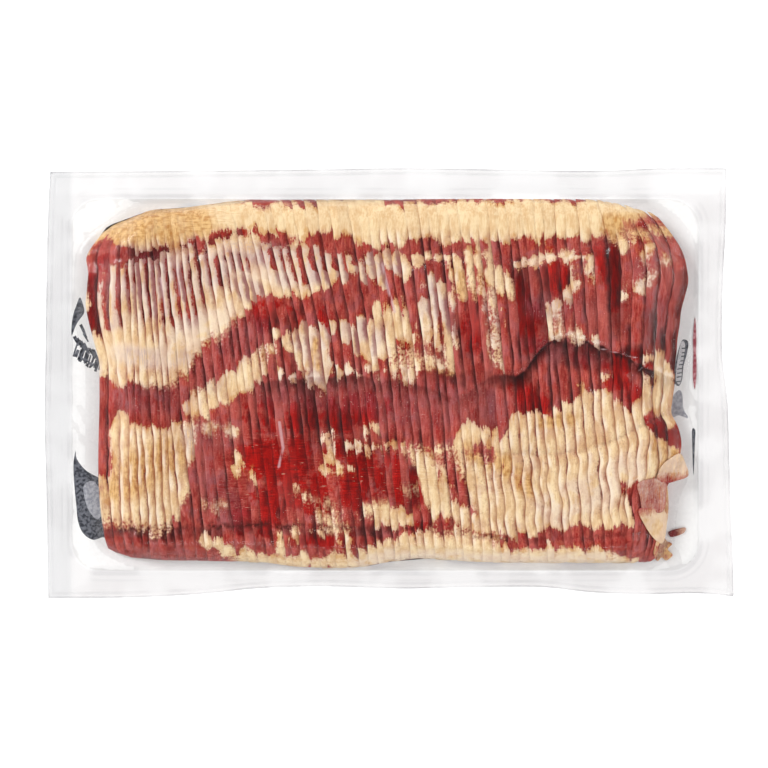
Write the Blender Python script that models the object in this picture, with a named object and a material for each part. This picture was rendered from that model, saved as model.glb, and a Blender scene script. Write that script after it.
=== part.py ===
"""Bacon pack: a flat vacuum pack of shingled, thick-cut bacon slices.

One layer of slices stands on a flat web of film, each slice leaning back under its right-hand
neighbour, and a formed web is drawn down over them and sealed to the flat web all round. The
whole is one closed solid: the thin sealed flange, the pocket's rim, and the ridged slab with
the creases where the film has pressed the slices over.

Metres, +Z up. The pack lies flat: its length runs along X, the slices run along Y, and the
origin is at the middle of its underside.
"""

import math

import bmesh
import bpy
import numpy as np

MM = 0.001

# Driving dimensions, in millimetres
PACK_LENGTH = 462.7
PACK_WIDTH = 288.7
FLANGE_THICKNESS = 0.6
RIM_HEIGHT = 1.0
POCKET_LEFT, POCKET_RIGHT = -214.2, 208.8
POCKET_FRONT, POCKET_BACK = -126.2, 122.2
POCKET_CORNER = 20.0
SLICE_COUNT = 62
SLAB_LEFT, SLAB_RIGHT = -192.5, 191.0
SLAB_MIDDLE_DEPTH = 241.0
SLAB_HEIGHT = 27.0
SLAB_FOOT_HEIGHT = 1.6
FOOT_REACH = 2.2

# The ridges of the slices: each tip stands over the valley in front of the next tip
TIP_RISE = 0.6
VALLEY_DROP = 0.8
VALLEY_SHARE = 0.86

# The slab's two ends are lower than its middle
LEFT_END_SHARE, LEFT_RAMP = 0.42, 26.0
RIGHT_END_SHARE, RIGHT_RAMP = 0.52, 22.0

# Smooth lines through (place, value) stations, all from the pack's middle.
# How far the cut edge of the film is drawn in from the pack's straight sides:
BACK_DRAW = ((-231, 2.4), (-160, 2.0), (-40, 0.7), (5, 0.0), (75, 0.9), (145, 1.7), (185, 0.0), (231, 0.0))
FRONT_DRAW = ((-231, 0.0), (-165, 0.7), (-122, 3.2), (-88, 6.6), (-45, 7.8), (8, 6.4), (62, 7.4),
              (108, 7.0), (135, 4.0), (168, 2.7), (218, 2.6), (231, 1.0))
LEFT_DRAW = ((-144, 2.4), (-72, 1.2), (-25, 0.0), (22, 0.7), (62, 1.2), (113, 2.4), (144, 3.8))
RIGHT_DRAW = ((-144, 0.0), (-128, 0.2), (-92, 1.8), (-45, 3.0), (-7, 4.6), (10, 6.9), (60, 7.4),
              (110, 5.2), (144, 4.6))
# Where the slices end, towards the back and the front:
BACK_ENDS = ((-200, 92), (-193, 99.5), (-186, 107), (-176, 113.5), (-160, 117.5), (-125, 119.5),
             (-60, 121), (142, 121), (168, 117), (184, 111), (193, 103), (200, 94))
FRONT_ENDS = ((-196, -104), (-187, -112), (-177, -117), (-127, -119), (-60, -123), (-20, -123),
              (12, -120), (180, -120), (190, -117))
# The three long creases that the film has pressed into the slices:
BACK_CREASE = ((-191, 81), (-130, 89), (-102, 96), (-50, 87), (-3, 82.6), (31, 86), (61, 89),
               (81, 82), (121, 88), (148, 96), (168, 103), (195, 84))
MIDDLE_CREASE = ((-191, 2), (-124, -1), (-60, 3), (-16, 5), (21, -1), (48, -8), (66, 4), (88, 8),
                 (105, 27), (142, 25), (168, 12), (195, 2))
FRONT_CREASE = ((-191, -99), (-127, -96), (-85, -95), (-6, -97), (41, -99), (88, -105), (142, -102),
                (195, -98))
# How far the slab's two end faces stand out from a straight line, from front to back:
LEFT_BULGE = ((-120, 5), (-107, 1), (-95, 0), (15, 0), (32, -3), (48, -8.5), (76, -9.5), (90, -6.5),
              (98, -1), (121, 14))
RIGHT_BULGE = ((-120, -8), (-70, -2), (-60, 7), (-25, 6), (-8, -2), (35, -2), (55, 8), (84, 9),
               (96, 4), (105, -2), (121, -12))
# The slices' lean in plan, sideways travel over travel to the front, from the left end (0) to
# the right end (1), in the back third of the slab and in the rest:
LEAN_AT_BACK = ((0.0, 0.0), (0.12, 0.10), (0.33, 0.23), (0.55, 0.14), (0.8, 0.10), (1.0, 0.02))
LEAN_IN_FRONT = ((0.0, 0.01), (0.12, 0.08), (0.7, 0.09), (0.85, 0.08), (1.0, 0.0))

# Heights across the slab as shares of its full height, in four bands from back to front. Each
# band starts at an end or a crease and gives (share of the band's depth, share of the height).
BACK_BAND = ((0.0, 0.15), (0.13, 0.55), (0.35, 0.76), (0.6, 0.815), (0.85, 0.78))
BACK_FIELD = ((0.0, 0.72), (0.08, 0.93), (0.3, 0.975), (0.55, 1.0), (0.8, 0.985), (0.955, 0.99))
FRONT_FIELD = ((0.0, 0.81), (0.05, 0.87), (0.15, 0.945), (0.4, 0.98), (0.65, 0.98), (0.88, 0.93))
FRONT_BAND = ((0.0, 0.745), (0.25, 0.82), (0.5, 0.77), (0.8, 0.5), (1.0, 0.15))


def smooth_line(stations, at):
    """The smooth curve through the (place, value) stations, read at one place."""
    places, values = np.array(stations, float).T
    slopes = np.gradient(values, places)
    at = min(max(at, places[0]), places[-1])
    span = min(int(np.searchsorted(places, at, side="right")) - 1, len(places) - 2)
    length = places[span + 1] - places[span]
    t = (at - places[span]) / length
    start = (1 + 2 * t) * (1 - t) ** 2 * values[span] + t * (1 - t) ** 2 * slopes[span] * length
    end = t * t * (3 - 2 * t) * values[span + 1] - t * t * (1 - t) * slopes[span + 1] * length
    return float(start + end)


def eased(t):
    """0 to 1 with level ends."""
    t = min(max(t, 0.0), 1.0)
    return t * t * (3 - 2 * t)


def rounded(x, y):
    """A point on the pocket's square outline, moved onto its rounded corner."""
    inner_x = min(max(x, POCKET_LEFT + POCKET_CORNER), POCKET_RIGHT - POCKET_CORNER)
    inner_y = min(max(y, POCKET_FRONT + POCKET_CORNER), POCKET_BACK - POCKET_CORNER)
    away = math.hypot(x - inner_x, y - inner_y)
    if away == 0:
        return x, y
    return (inner_x + (x - inner_x) * POCKET_CORNER / away,
            inner_y + (y - inner_y) * POCKET_CORNER / away)


def slice_line(along, y):
    """X of the slice line that is a given share along the slab, at one Y."""
    x = SLAB_LEFT + along * (SLAB_RIGHT - SLAB_LEFT)
    back = smooth_line(LEAN_AT_BACK, along)
    front = smooth_line(LEAN_IN_FRONT, along)
    third = SLAB_MIDDLE_DEPTH / 6
    x -= front * min(y, third)
    x -= back * max(y - third, 0.0)
    end_share = SLICE_COUNT / 4
    x += smooth_line(LEFT_BULGE, y) * max(1 - along * end_share, 0.0)
    x += smooth_line(RIGHT_BULGE, y) * max(1 - (1 - along) * end_share, 0.0)
    return x


def end_height(x, y):
    """Share of the height that the slab keeps near its left and right ends."""
    from_left = x - slice_line(0.0, y)
    from_right = slice_line(1.0, y) - x
    left = LEFT_END_SHARE + (1 - LEFT_END_SHARE) * eased(from_left / LEFT_RAMP)
    right = RIGHT_END_SHARE + (1 - RIGHT_END_SHARE) * eased(from_right / RIGHT_RAMP)
    return left * right


def columns_along():
    """(share along the slab, rise of the ridge) of every grid column on the slab."""
    columns = []
    for index in range(SLICE_COUNT):
        tip = index / SLICE_COUNT
        columns.append((tip, TIP_RISE))
        columns.append((tip + VALLEY_SHARE / SLICE_COUNT, -VALLEY_DROP))
    columns.append((1.0, 0.0))
    return columns


def rows_across(x):
    """(Y, share of the height) of every grid row on the slab, back to front, at one X."""
    lines = (smooth_line(BACK_ENDS, x), smooth_line(BACK_CREASE, x), smooth_line(MIDDLE_CREASE, x),
             smooth_line(FRONT_CREASE, x), smooth_line(FRONT_ENDS, x))
    rows = []
    for band, start, end in zip((BACK_BAND, BACK_FIELD, FRONT_FIELD, FRONT_BAND), lines, lines[1:]):
        for depth, height in band:
            rows.append((start + depth * (end - start), height))
    return rows


def slab_point(along, ridge, row):
    """One point of the slab's upper surface, in millimetres."""
    x = slice_line(along, 0.0)
    for _ in range(3):
        y, share = rows_across(x)[row]
        x = slice_line(along, y)
    height = SLAB_HEIGHT * share * end_height(x, y)
    return x, y, height + ridge * share


def film_edge(x, y):
    """A point on the pack's square outline, drawn in to the film's cut edge."""
    half_length, half_width = PACK_LENGTH / 2, PACK_WIDTH / 2
    if x <= -half_length:
        new_x = -half_length + max(smooth_line(LEFT_DRAW, y), 0.0)
    elif x >= half_length:
        new_x = half_length - max(smooth_line(RIGHT_DRAW, y), 0.0)
    else:
        new_x = x
    if y <= -half_width:
        new_y = -half_width + max(smooth_line(FRONT_DRAW, x), 0.0)
    elif y >= half_width:
        new_y = half_width - max(smooth_line(BACK_DRAW, x), 0.0)
    else:
        new_y = y
    return new_x, new_y


def pack_surface():
    """The upper surface as rows of points, from the back edge of the film to the front edge."""
    columns = columns_along()
    row_count = len(rows_across(0.0))
    slab = [[slab_point(along, ridge, row) for along, ridge in columns] for row in range(row_count)]
    surface = []
    for line in slab:
        first, last = line[0], line[-1]
        left_foot = (first[0] - FOOT_REACH, first[1], SLAB_FOOT_HEIGHT)
        right_foot = (last[0] + FOOT_REACH, last[1], SLAB_FOOT_HEIGHT)
        left_rim = rounded(POCKET_LEFT, first[1]) + (RIM_HEIGHT,)
        right_rim = rounded(POCKET_RIGHT, last[1]) + (RIM_HEIGHT,)
        left_edge = film_edge(-PACK_LENGTH / 2, first[1]) + (FLANGE_THICKNESS,)
        right_edge = film_edge(PACK_LENGTH / 2, last[1]) + (FLANGE_THICKNESS,)
        surface.append([left_edge, left_rim, left_foot] + line + [right_foot, right_rim, right_edge])
    for side, pocket_side, line in ((1, POCKET_BACK, surface[0]), (-1, POCKET_FRONT, surface[-1])):
        across = [POCKET_LEFT] + [point[0] for point in line[2:-2]] + [POCKET_RIGHT]
        rim = [rounded(x, pocket_side) + (RIM_HEIGHT,) for x in across]
        rim.insert(0, film_edge(-PACK_LENGTH / 2, pocket_side) + (FLANGE_THICKNESS,))
        rim.append(film_edge(PACK_LENGTH / 2, pocket_side) + (FLANGE_THICKNESS,))
        outer = [-PACK_LENGTH / 2] + across + [PACK_LENGTH / 2]
        edge = [film_edge(x, side * PACK_WIDTH / 2) + (FLANGE_THICKNESS,) for x in outer]
        if side > 0:
            surface = [edge, rim] + surface
        else:
            surface = surface + [rim, edge]
    return surface


def clear_scene():
    """Remove whatever the file opened with."""
    for thing in list(bpy.data.objects):
        bpy.data.objects.remove(thing, do_unlink=True)


def packed_bacon_material():
    """Clear film drawn tight over cured pork: rosy, glossy, with the flange's milky edge left out."""
    material = bpy.data.materials.new("packed_bacon")
    material.use_nodes = True
    shader = material.node_tree.nodes["Principled BSDF"]
    shader.inputs["Base Color"].default_value = (0.43, 0.13, 0.09, 1.0)
    shader.inputs["Roughness"].default_value = 0.28
    shader.inputs["Metallic"].default_value = 0.0
    return material


def vacuum_pack(collection):
    """The sealed pack as one closed solid with a flat underside."""
    surface = pack_surface()
    rows, columns = len(surface), len(surface[0])
    shape = bmesh.new()
    grid = bmesh.ops.create_grid(shape, x_segments=columns - 1, y_segments=rows - 1, size=1.0)
    ordered = sorted(grid["verts"], key=lambda vert: (round(-vert.co.y, 5), vert.co.x))
    for vert, point in zip(ordered, (point for line in surface for point in line)):
        vert.co = [value * MM for value in point]

    under = bmesh.ops.extrude_face_region(shape, geom=shape.faces[:], use_keep_orig=True)["geom"]
    under_verts = [part for part in under if isinstance(part, bmesh.types.BMVert)]
    for vert in under_verts:
        vert.co.z = 0.0
    under_edges = [part for part in under if isinstance(part, bmesh.types.BMEdge)]
    bmesh.ops.dissolve_limit(shape, angle_limit=math.radians(0.05), verts=under_verts, edges=under_edges)
    bmesh.ops.recalc_face_normals(shape, faces=shape.faces[:])

    mesh = bpy.data.meshes.new("vacuum_pack")
    shape.to_mesh(mesh)
    shape.free()
    mesh.shade_smooth()
    mesh.set_sharp_from_angle(angle=math.radians(40))
    pack = bpy.data.objects.new("vacuum_pack", mesh)
    pack.data.materials.append(packed_bacon_material())
    collection.objects.link(pack)
    return pack


def main():
    clear_scene()
    collection = bpy.data.collections.new("bacon_pack")
    bpy.context.scene.collection.children.link(collection)
    vacuum_pack(collection)


main()
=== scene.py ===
"""Looks of the bacon pack: shingled slices of cured belly under a clear, drawn-down film."""

import math

import bpy
import numpy as np
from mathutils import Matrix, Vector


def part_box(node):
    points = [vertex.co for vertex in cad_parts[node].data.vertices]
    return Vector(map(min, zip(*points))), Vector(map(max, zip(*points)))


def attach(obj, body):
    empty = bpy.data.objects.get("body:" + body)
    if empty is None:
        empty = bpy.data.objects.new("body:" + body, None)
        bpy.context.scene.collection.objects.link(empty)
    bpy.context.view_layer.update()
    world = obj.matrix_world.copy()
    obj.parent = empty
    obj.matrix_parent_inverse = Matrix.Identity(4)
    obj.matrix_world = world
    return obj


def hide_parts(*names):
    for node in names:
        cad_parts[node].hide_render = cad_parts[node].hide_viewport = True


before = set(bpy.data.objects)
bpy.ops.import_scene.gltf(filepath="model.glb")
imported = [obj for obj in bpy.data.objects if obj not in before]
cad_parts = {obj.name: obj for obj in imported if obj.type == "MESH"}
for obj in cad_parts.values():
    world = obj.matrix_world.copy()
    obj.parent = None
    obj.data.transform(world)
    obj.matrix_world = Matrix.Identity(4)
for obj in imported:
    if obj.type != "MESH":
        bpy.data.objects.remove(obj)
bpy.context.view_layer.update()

MM = 0.001
BODY = "root"
PACK_NODE = "vacuum_pack"

# ---------------------------------------------------------------------------------------------
# Sizes, in millimetres, in the frame's axes. The first group comes from the solid or repeats its values.
# ---------------------------------------------------------------------------------------------
lowest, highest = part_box(PACK_NODE)
PACK_LENGTH = (highest.x - lowest.x) / MM
PACK_WIDTH = (highest.y - lowest.y) / MM
PACK_HEIGHT = (highest.z - lowest.z) / MM
POCKET_LEFT, POCKET_RIGHT = -214.2, 208.8
POCKET_FRONT, POCKET_BACK = -127.0, 124.8
POCKET_CORNER = 20.0
SLICE_COUNT = 62
SLAB_LEFT, SLAB_RIGHT = -192.5, 191.0
SLAB_HEIGHT = PACK_HEIGHT - 1.2
# The slices lean one way up to this Y and another way behind it
LEAN_BEND = 241.0 / 6
# How many slices at each end take on that end's outline
LEFT_SHAPED, RIGHT_SHAPED = 4, 9
LEFT_END_SHARE, LEFT_RAMP = 0.42, 26.0
RIGHT_END_SHARE, RIGHT_RAMP = 0.52, 22.0

# How far the film's cut edge is drawn in along each side: a place on the side, and the draw
BACK_DRAW = (
    (-231, 2.4), (-160, 2.0), (-40, 0.7), (5, 0.0), (75, 0.9), (145, 1.7), (185, 0.0), (231, 0.0),
)
FRONT_DRAW = (
    (-231, 0.0), (-165, 0.7), (-122, 3.2), (-88, 6.6), (-45, 7.8), (8, 6.4), (62, 7.4), (108, 7.0),
    (135, 4.0), (168, 2.7), (218, 2.6), (231, 1.0),
)
LEFT_DRAW = ((-144, 2.4), (-72, 1.2), (-25, 0.0), (22, 0.7), (62, 1.2), (113, 2.4), (144, 3.8))
RIGHT_DRAW = (
    (-144, 0.0), (-128, 0.2), (-92, 1.8), (-45, 3.0), (-7, 4.6), (10, 6.9), (60, 7.4), (110, 5.2),
    (144, 4.6),
)
# Where the slices end at the back and in front: X and Y
BACK_ENDS = (
    (-206, 84), (-193, 100), (-180, 107.5), (-160, 115.5), (-140, 117.5), (-120, 120), (-100, 122.3),
    (-60, 123), (0, 123), (140, 123), (155, 120.5), (170, 117), (182, 112.5), (193, 103), (200, 93),
    (204, 84),
)
FRONT_ENDS = (
    (-200, -104), (-188, -111), (-180, -115), (-160, -118), (-120, -119.3), (-80, -121), (-60, -123.4),
    (-40, -124.2), (-20, -123.4), (0, -120), (20, -117.6), (40, -119), (60, -120.2), (100, -120.5),
    (140, -120.7), (165, -120.5), (180, -118.5), (190, -112),
)
# The creases along the slab: X and Y
BACK_CREASE = (
    (-191, 81), (-130, 89), (-102, 96), (-50, 87), (-3, 82.6), (31, 86), (61, 89), (81, 82), (121, 88),
    (148, 96), (168, 103), (195, 84),
)
MIDDLE_CREASE = (
    (-191, 2), (-124, -1), (-60, 3), (-16, 5), (21, -1), (48, -8), (66, 4), (88, 8), (105, 27),
    (142, 25), (168, 12), (195, 2),
)
FRONT_CREASE = (
    (-191, -99), (-127, -96), (-85, -95), (-6, -97), (41, -99), (88, -105), (142, -102), (195, -98),
)
# How far the first and last slices bow to the right at each Y
LEFT_BULGE = (
    (-120, 6), (-107, 2), (-95, 0), (0, -1), (14, -1), (28, -4.5), (42, -8), (52, -9.8), (64, -9),
    (75, -8.3), (84, -9.5), (92, -6), (98, -1.5), (108, 6), (121, 16),
)
RIGHT_BULGE = (
    (-122, -14), (-100, -9), (-80, -8), (-70, -6), (-60, -0.5), (-50, 2.3), (-40, 3.6), (-30, 1.5),
    (-20, -3), (-10, -2.2), (0, -0.8), (10, -1), (20, 0.3), (30, 1), (40, 2.5), (50, 3.8), (60, 6.5),
    (70, 8.8), (80, 8.2), (90, 6.5), (100, 2), (112, -8), (123, -18),
)
# How far the slices lean to the left for each millimetre back, by share along the slab
LEAN_AT_BACK = ((0.0, 0.0), (0.12, 0.10), (0.33, 0.23), (0.55, 0.14), (0.8, 0.10), (1.0, 0.02))
LEAN_IN_FRONT = ((0.0, 0.01), (0.12, 0.08), (0.7, 0.09), (0.85, 0.08), (1.0, 0.0))
# Share of the slab's height across each field, by share of the way from its back line to its front line
BACK_BAND = ((0.0, 0.15), (0.13, 0.55), (0.35, 0.76), (0.6, 0.815), (0.85, 0.78))
BACK_FIELD = ((0.0, 0.72), (0.08, 0.93), (0.3, 0.975), (0.55, 1.0), (0.8, 0.985), (0.955, 0.99))
FRONT_FIELD = ((0.0, 0.81), (0.05, 0.87), (0.15, 0.945), (0.4, 0.98), (0.6, 0.965), (0.8, 0.885))
FRONT_BAND = ((0.0, 0.745), (0.25, 0.82), (0.5, 0.77), (0.8, 0.5), (1.0, 0.15))

# One slice: how far its upper face has dropped below the slab's envelope, by distance from its tip
FACE_DROP = ((0.0, 0.0), (3.0, 0.45), (6.5, 1.35), (9.0, 2.6), (12.0, 4.9), (20.0, 11.6), (38.0, 28.0))
SHOULDER = ((0.0, 0.0), (3.0, 0.45), (6.5, 1.35), (9.0, 1.4))
NOSE_LENGTH = 0.9
SLICE_GAP = 0.12
# Its points: their spacing along it, and their distances from its tip going out and coming back below
ALONG_STEP = 1.7
UPPER_STEPS = (0.0, 0.5, 1.1, 2.0, 3.2, 4.4, 5.6, 6.8, 8.2, 10.5, 14.0, 20.0, 28.0, 37.0)
LOWER_STEPS = (36.0, 26.0, 17.0, 10.0, 6.0, 3.0, 1.0)

# The slab's rounded right corners: the furthest X at each Y
BACK_CORNER = ((84, 204), (93, 200), (103, 193), (112.5, 182), (117, 170), (120.5, 155), (123, 140))
FRONT_CORNER = ((-121.5, 150), (-120.5, 162), (-118.5, 178), (-112, 190), (-104, 200))
RIGHT_REACH = 0.8
# A lesser fold in the front right of the slab, and the curls that the strips make in front of it
FOLD_IN_FRONT = ((79, -47), (92, -47), (127, -45), (152, -37), (167, -29), (185, -20))
CURL_DEPTH, CURL_LENGTH = 0.85, 27.0

# Levels: the under web, the upper web where it rests on the card, and the slab's underside
UNDER_FILM_LEVEL = 0.05
FILM_LEVEL = 0.45
FLOOR_OF_SLAB = 0.5
NOTHING_THERE = -5.0
# The film: its thickness, its flange, the spacing of its grid, and how the vacuum draws it down
FILM_THICKNESS = 0.14
FLANGE_WIDTH = 20.0
FILM_STEP_X, FILM_STEP_Y = 1.35, 2.3
FILM_PRESSURE, SETTLING_STEPS = 0.16, 500


# ---------------------------------------------------------------------------------------------
# Small sums
# ---------------------------------------------------------------------------------------------
def smooth_line(stations, at):
    """The smooth curve through (place, value) stations, read at an array of places."""
    places, values = np.array(stations, float).T
    slopes = np.gradient(values, places)
    at = np.clip(at, places[0], places[-1])
    span = np.clip(np.searchsorted(places, at, side="right") - 1, 0, len(places) - 2)
    length = places[span + 1] - places[span]
    t = (at - places[span]) / length
    start = (1 + 2 * t) * (1 - t) ** 2 * values[span] + t * (1 - t) ** 2 * slopes[span] * length
    end = t * t * (3 - 2 * t) * values[span + 1] - t * t * (1 - t) * slopes[span + 1] * length
    return start + end


def straight_line(stations, at):
    """The broken straight line through (place, value) stations."""
    places, values = np.array(stations, float).T
    return np.interp(at, places, values)


def eased(t):
    """0 to 1 with level ends."""
    t = np.clip(t, 0.0, 1.0)
    return t * t * (3 - 2 * t)


def wander(x, y, size, seed):
    """Smooth, seeded unevenness between -1 and 1, with lumps of one size."""
    table = np.random.default_rng(seed).uniform(-1, 1, (64, 64))
    x, y = np.asarray(x) / size + 300.5, np.asarray(y) / size + 300.5
    column, row = np.floor(x).astype(int), np.floor(y).astype(int)
    across, up = eased(x - column), eased(y - row)
    left, right, low, high = column % 64, (column + 1) % 64, row % 64, (row + 1) % 64
    near = table[low, left] * (1 - across) + table[low, right] * across
    far = table[high, left] * (1 - across) + table[high, right] * across
    return near * (1 - up) + far * up


def streak(x, y, start, end, radius):
    """How far inside a round-ended streak a point lies, in millimetres; negative outside."""
    along_x, along_y = end[0] - start[0], end[1] - start[1]
    share = ((x - start[0]) * along_x + (y - start[1]) * along_y) / (along_x ** 2 + along_y ** 2)
    share = np.clip(share, 0.0, 1.0)
    return radius - np.hypot(x - start[0] - share * along_x, y - start[1] - share * along_y)


def band(x, y, stations):
    """How far inside a band between two lines a point lies. Stations are (x, low edge, high edge)."""
    low = smooth_line([(place, bottom) for place, bottom, top in stations], x)
    high = smooth_line([(place, top) for place, bottom, top in stations], x)
    past_end = np.maximum(stations[0][0] - x, x - stations[-1][0])
    return np.minimum(np.minimum(y - low, high - y), -past_end)


# ---------------------------------------------------------------------------------------------
# The slab of slices
# ---------------------------------------------------------------------------------------------
def slice_line(along, y):
    """X of the slice line a given share along the slab, at each Y."""
    x = SLAB_LEFT + along * (SLAB_RIGHT - SLAB_LEFT)
    back = smooth_line(LEAN_AT_BACK, along)
    front = smooth_line(LEAN_IN_FRONT, along)
    x = x - front * np.minimum(y, LEAN_BEND) - back * np.maximum(y - LEAN_BEND, 0.0)
    left_share = max(1 - along * SLICE_COUNT / LEFT_SHAPED, 0.0)
    right_share = max(1 - (1 - along) * SLICE_COUNT / RIGHT_SHAPED, 0.0) ** 1.3
    return x + smooth_line(LEFT_BULGE, y) * left_share + smooth_line(RIGHT_BULGE, y) * right_share


def crease_line(x):
    """Y of the ragged edge where the back half's slice ends lie over the front half."""
    return smooth_line(MIDDLE_CREASE, x) + 1.5 * wander(x, 7.0, 3.6, 61)


def step_mark(x):
    """0 to 1 where the middle crease is an open step: nowhere at the left, fully at the right."""
    hump = np.exp(-((x + 44) / 30) ** 2)
    return eased((x + 96) / 16) * (0.35 + 0.4 * hump + 0.65 * eased((x - 60) / 30))


def height_share(x, y):
    """Height of the slab's envelope as a share of its full height."""
    lines = [smooth_line(BACK_ENDS, x), smooth_line(BACK_CREASE, x), crease_line(x),
             smooth_line(FRONT_CREASE, x), smooth_line(FRONT_ENDS, x)]
    tables = (BACK_BAND, BACK_FIELD, FRONT_FIELD, FRONT_BAND)
    share = np.zeros(np.broadcast(x, y).shape)
    edge_level = 1 - 0.42 * step_mark(x) ** 1.5
    for number, table in enumerate(tables):
        start, end = lines[number], lines[number + 1]
        depth = (start - y) / (start - end)
        if table is not FRONT_BAND:
            table = table + ((1.0, tables[number + 1][0][1]),)
        inside = (depth >= 0) & (depth <= 1)
        uneven = 0.12 * wander(x, y, 13.0, 74) + 0.08 * wander(x, y, 5.0, 75)
        level = straight_line(table, depth + uneven * depth * (1 - depth))
        # the step at the middle crease is filled where the crease is closed
        if number == 1:
            level = level + (BACK_FIELD[-1][1] - level) * edge_level * (depth > BACK_FIELD[-1][0])
        if number == 2:
            level = level + (BACK_FIELD[-1][1] - level) * edge_level * eased(1 - depth / 0.15)
        share = np.where(inside, level, share)
    left = LEFT_END_SHARE + (1 - LEFT_END_SHARE) * eased((x - slice_line(0.0, y)) / LEFT_RAMP)
    right = RIGHT_END_SHARE + (1 - RIGHT_END_SHARE) * eased((slice_line(1.0, y) - x) / RIGHT_RAMP)
    fold = 0.05 * np.exp(-((y - smooth_line(FOLD_IN_FRONT, x)) / 1.6) ** 2) * eased((x - 70) / 14)
    return share * left * right - fold


def slab_top(x, y):
    """Height of the smooth envelope over the slices' tips."""
    share = height_share(x, y)
    uneven = 0.5 * wander(x, y, 34.0, 11) + 0.35 * wander(x, y, 12.0, 12) - 0.4
    return FLOOR_OF_SLAB + (SLAB_HEIGHT - FLOOR_OF_SLAB) * share + uneven * np.minimum(share * 1.5, 1.0)


def right_limit(y):
    """The furthest X that any slice reaches at each Y, inside the slab's rounded right corners."""
    back, front = straight_line(BACK_CORNER, y), straight_line(FRONT_CORNER, y)
    between = (y <= BACK_CORNER[0][0]) & (y >= FRONT_CORNER[-1][0])
    corner = np.where(between, np.inf, np.where(y > 0, back, front))
    return np.minimum(corner, slice_line(1.0, y) + RIGHT_REACH)


def slice_starts():
    """Share along the slab of each slice's tip, unevenly spaced as hand-laid slices are."""
    chance = np.random.default_rng(5)
    pitch = chance.uniform(0.74, 1.26, SLICE_COUNT) * np.linspace(0.92, 1.12, SLICE_COUNT)
    wide = (chance.random(SLICE_COUNT) < 0.10) & (np.arange(SLICE_COUNT) < 0.6 * SLICE_COUNT)
    pitch[wide] *= 1.4
    starts = np.concatenate(([0.0], np.cumsum(pitch)))
    return starts / starts[-1]


STARTS = slice_starts()


def tip_line(number, y):
    """X of one slice's tip at each Y: it wavers a little, and curls in front of the fold."""
    share = STARTS[number]
    line = slice_line(share, y)
    if number in (0, SLICE_COUNT):
        return line
    own = 40.0 * number
    livelier = 0.45 + 0.4 * eased((share - 0.7) / 0.25) * eased((20 - y) / 40)
    waver = wander(y, own, 14.0, 21) * livelier + wander(y, own, 55.0, 22) * 0.9
    waver = waver + wander(y, own, 5.5, 24) * 0.38
    past_fold = smooth_line(FOLD_IN_FRONT, line) - y
    curled = eased((line - 62) / 24) * eased(past_fold / 5) * eased((y + 104) / 16)
    lag = 3.0 * wander(line, 11.0, 13.0, 23)
    return line + waver + CURL_DEPTH * curled * np.sin((past_fold + lag) * math.tau / CURL_LENGTH)


# Where the film presses the slices flat against each other: how flat, and a spot
FLATTENED = (
    (0.88, ((-206, 104), (-108, 112), 15.0)),
    (0.93, ((-96, 113), (160, 112), 14.0)),
    (0.75, ((-190, -116), (180, -118), 10.0)),
    (0.35, ((-85, -14), (60, -14), 10.0)),
    (0.55, ((-84, -50), (16, -72), 20.0)),
    (0.4, ((-110, 40), (-88, 66), 8.0)),
    (0.6, ((-184, 20), (-140, 18), 9.0)),
    (0.5, ((-6, -20), (72, -20), 14.0)),
    (0.4, ((-182, -12), (-140, -12), 8.0)),
    (0.5, ((-140, 26), (-104, 52), 7.0)),
)


def relief(x, y):
    """How strongly the strips stand out from each other: 1 where each has a full shoulder."""
    flat = np.zeros(np.broadcast(x, y).shape)
    for amount, spot in FLATTENED:
        flat = np.maximum(flat, amount * spread(x, y, (spot,)))
    uneven = wander(x, y, 15.0, 71) + wander(x * 1.5, y, 6.0, 72) + wander(x, y, 44.0, 73)
    return (1.0 - flat) * np.clip(0.68 + 0.3 * uneven, 0.08, 1.1)


def envelope(x, y):
    """The slab's smooth top, and how much of its full drop each slice keeps there."""
    return slab_top(x, y), relief(x, y), 0.35 + 0.65 * np.clip(height_share(x, y) * 1.3, 0, 1)


def face_height(number, x, y, over):
    """Height of one slice's upper face under a given envelope."""
    top, shoulder, softer = over
    past_tip = x - tip_line(number, y)
    drop = straight_line(FACE_DROP, past_tip) - (1 - shoulder) * straight_line(SHOULDER, past_tip)
    return np.maximum(top - drop * softer, FLOOR_OF_SLAB)


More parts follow.
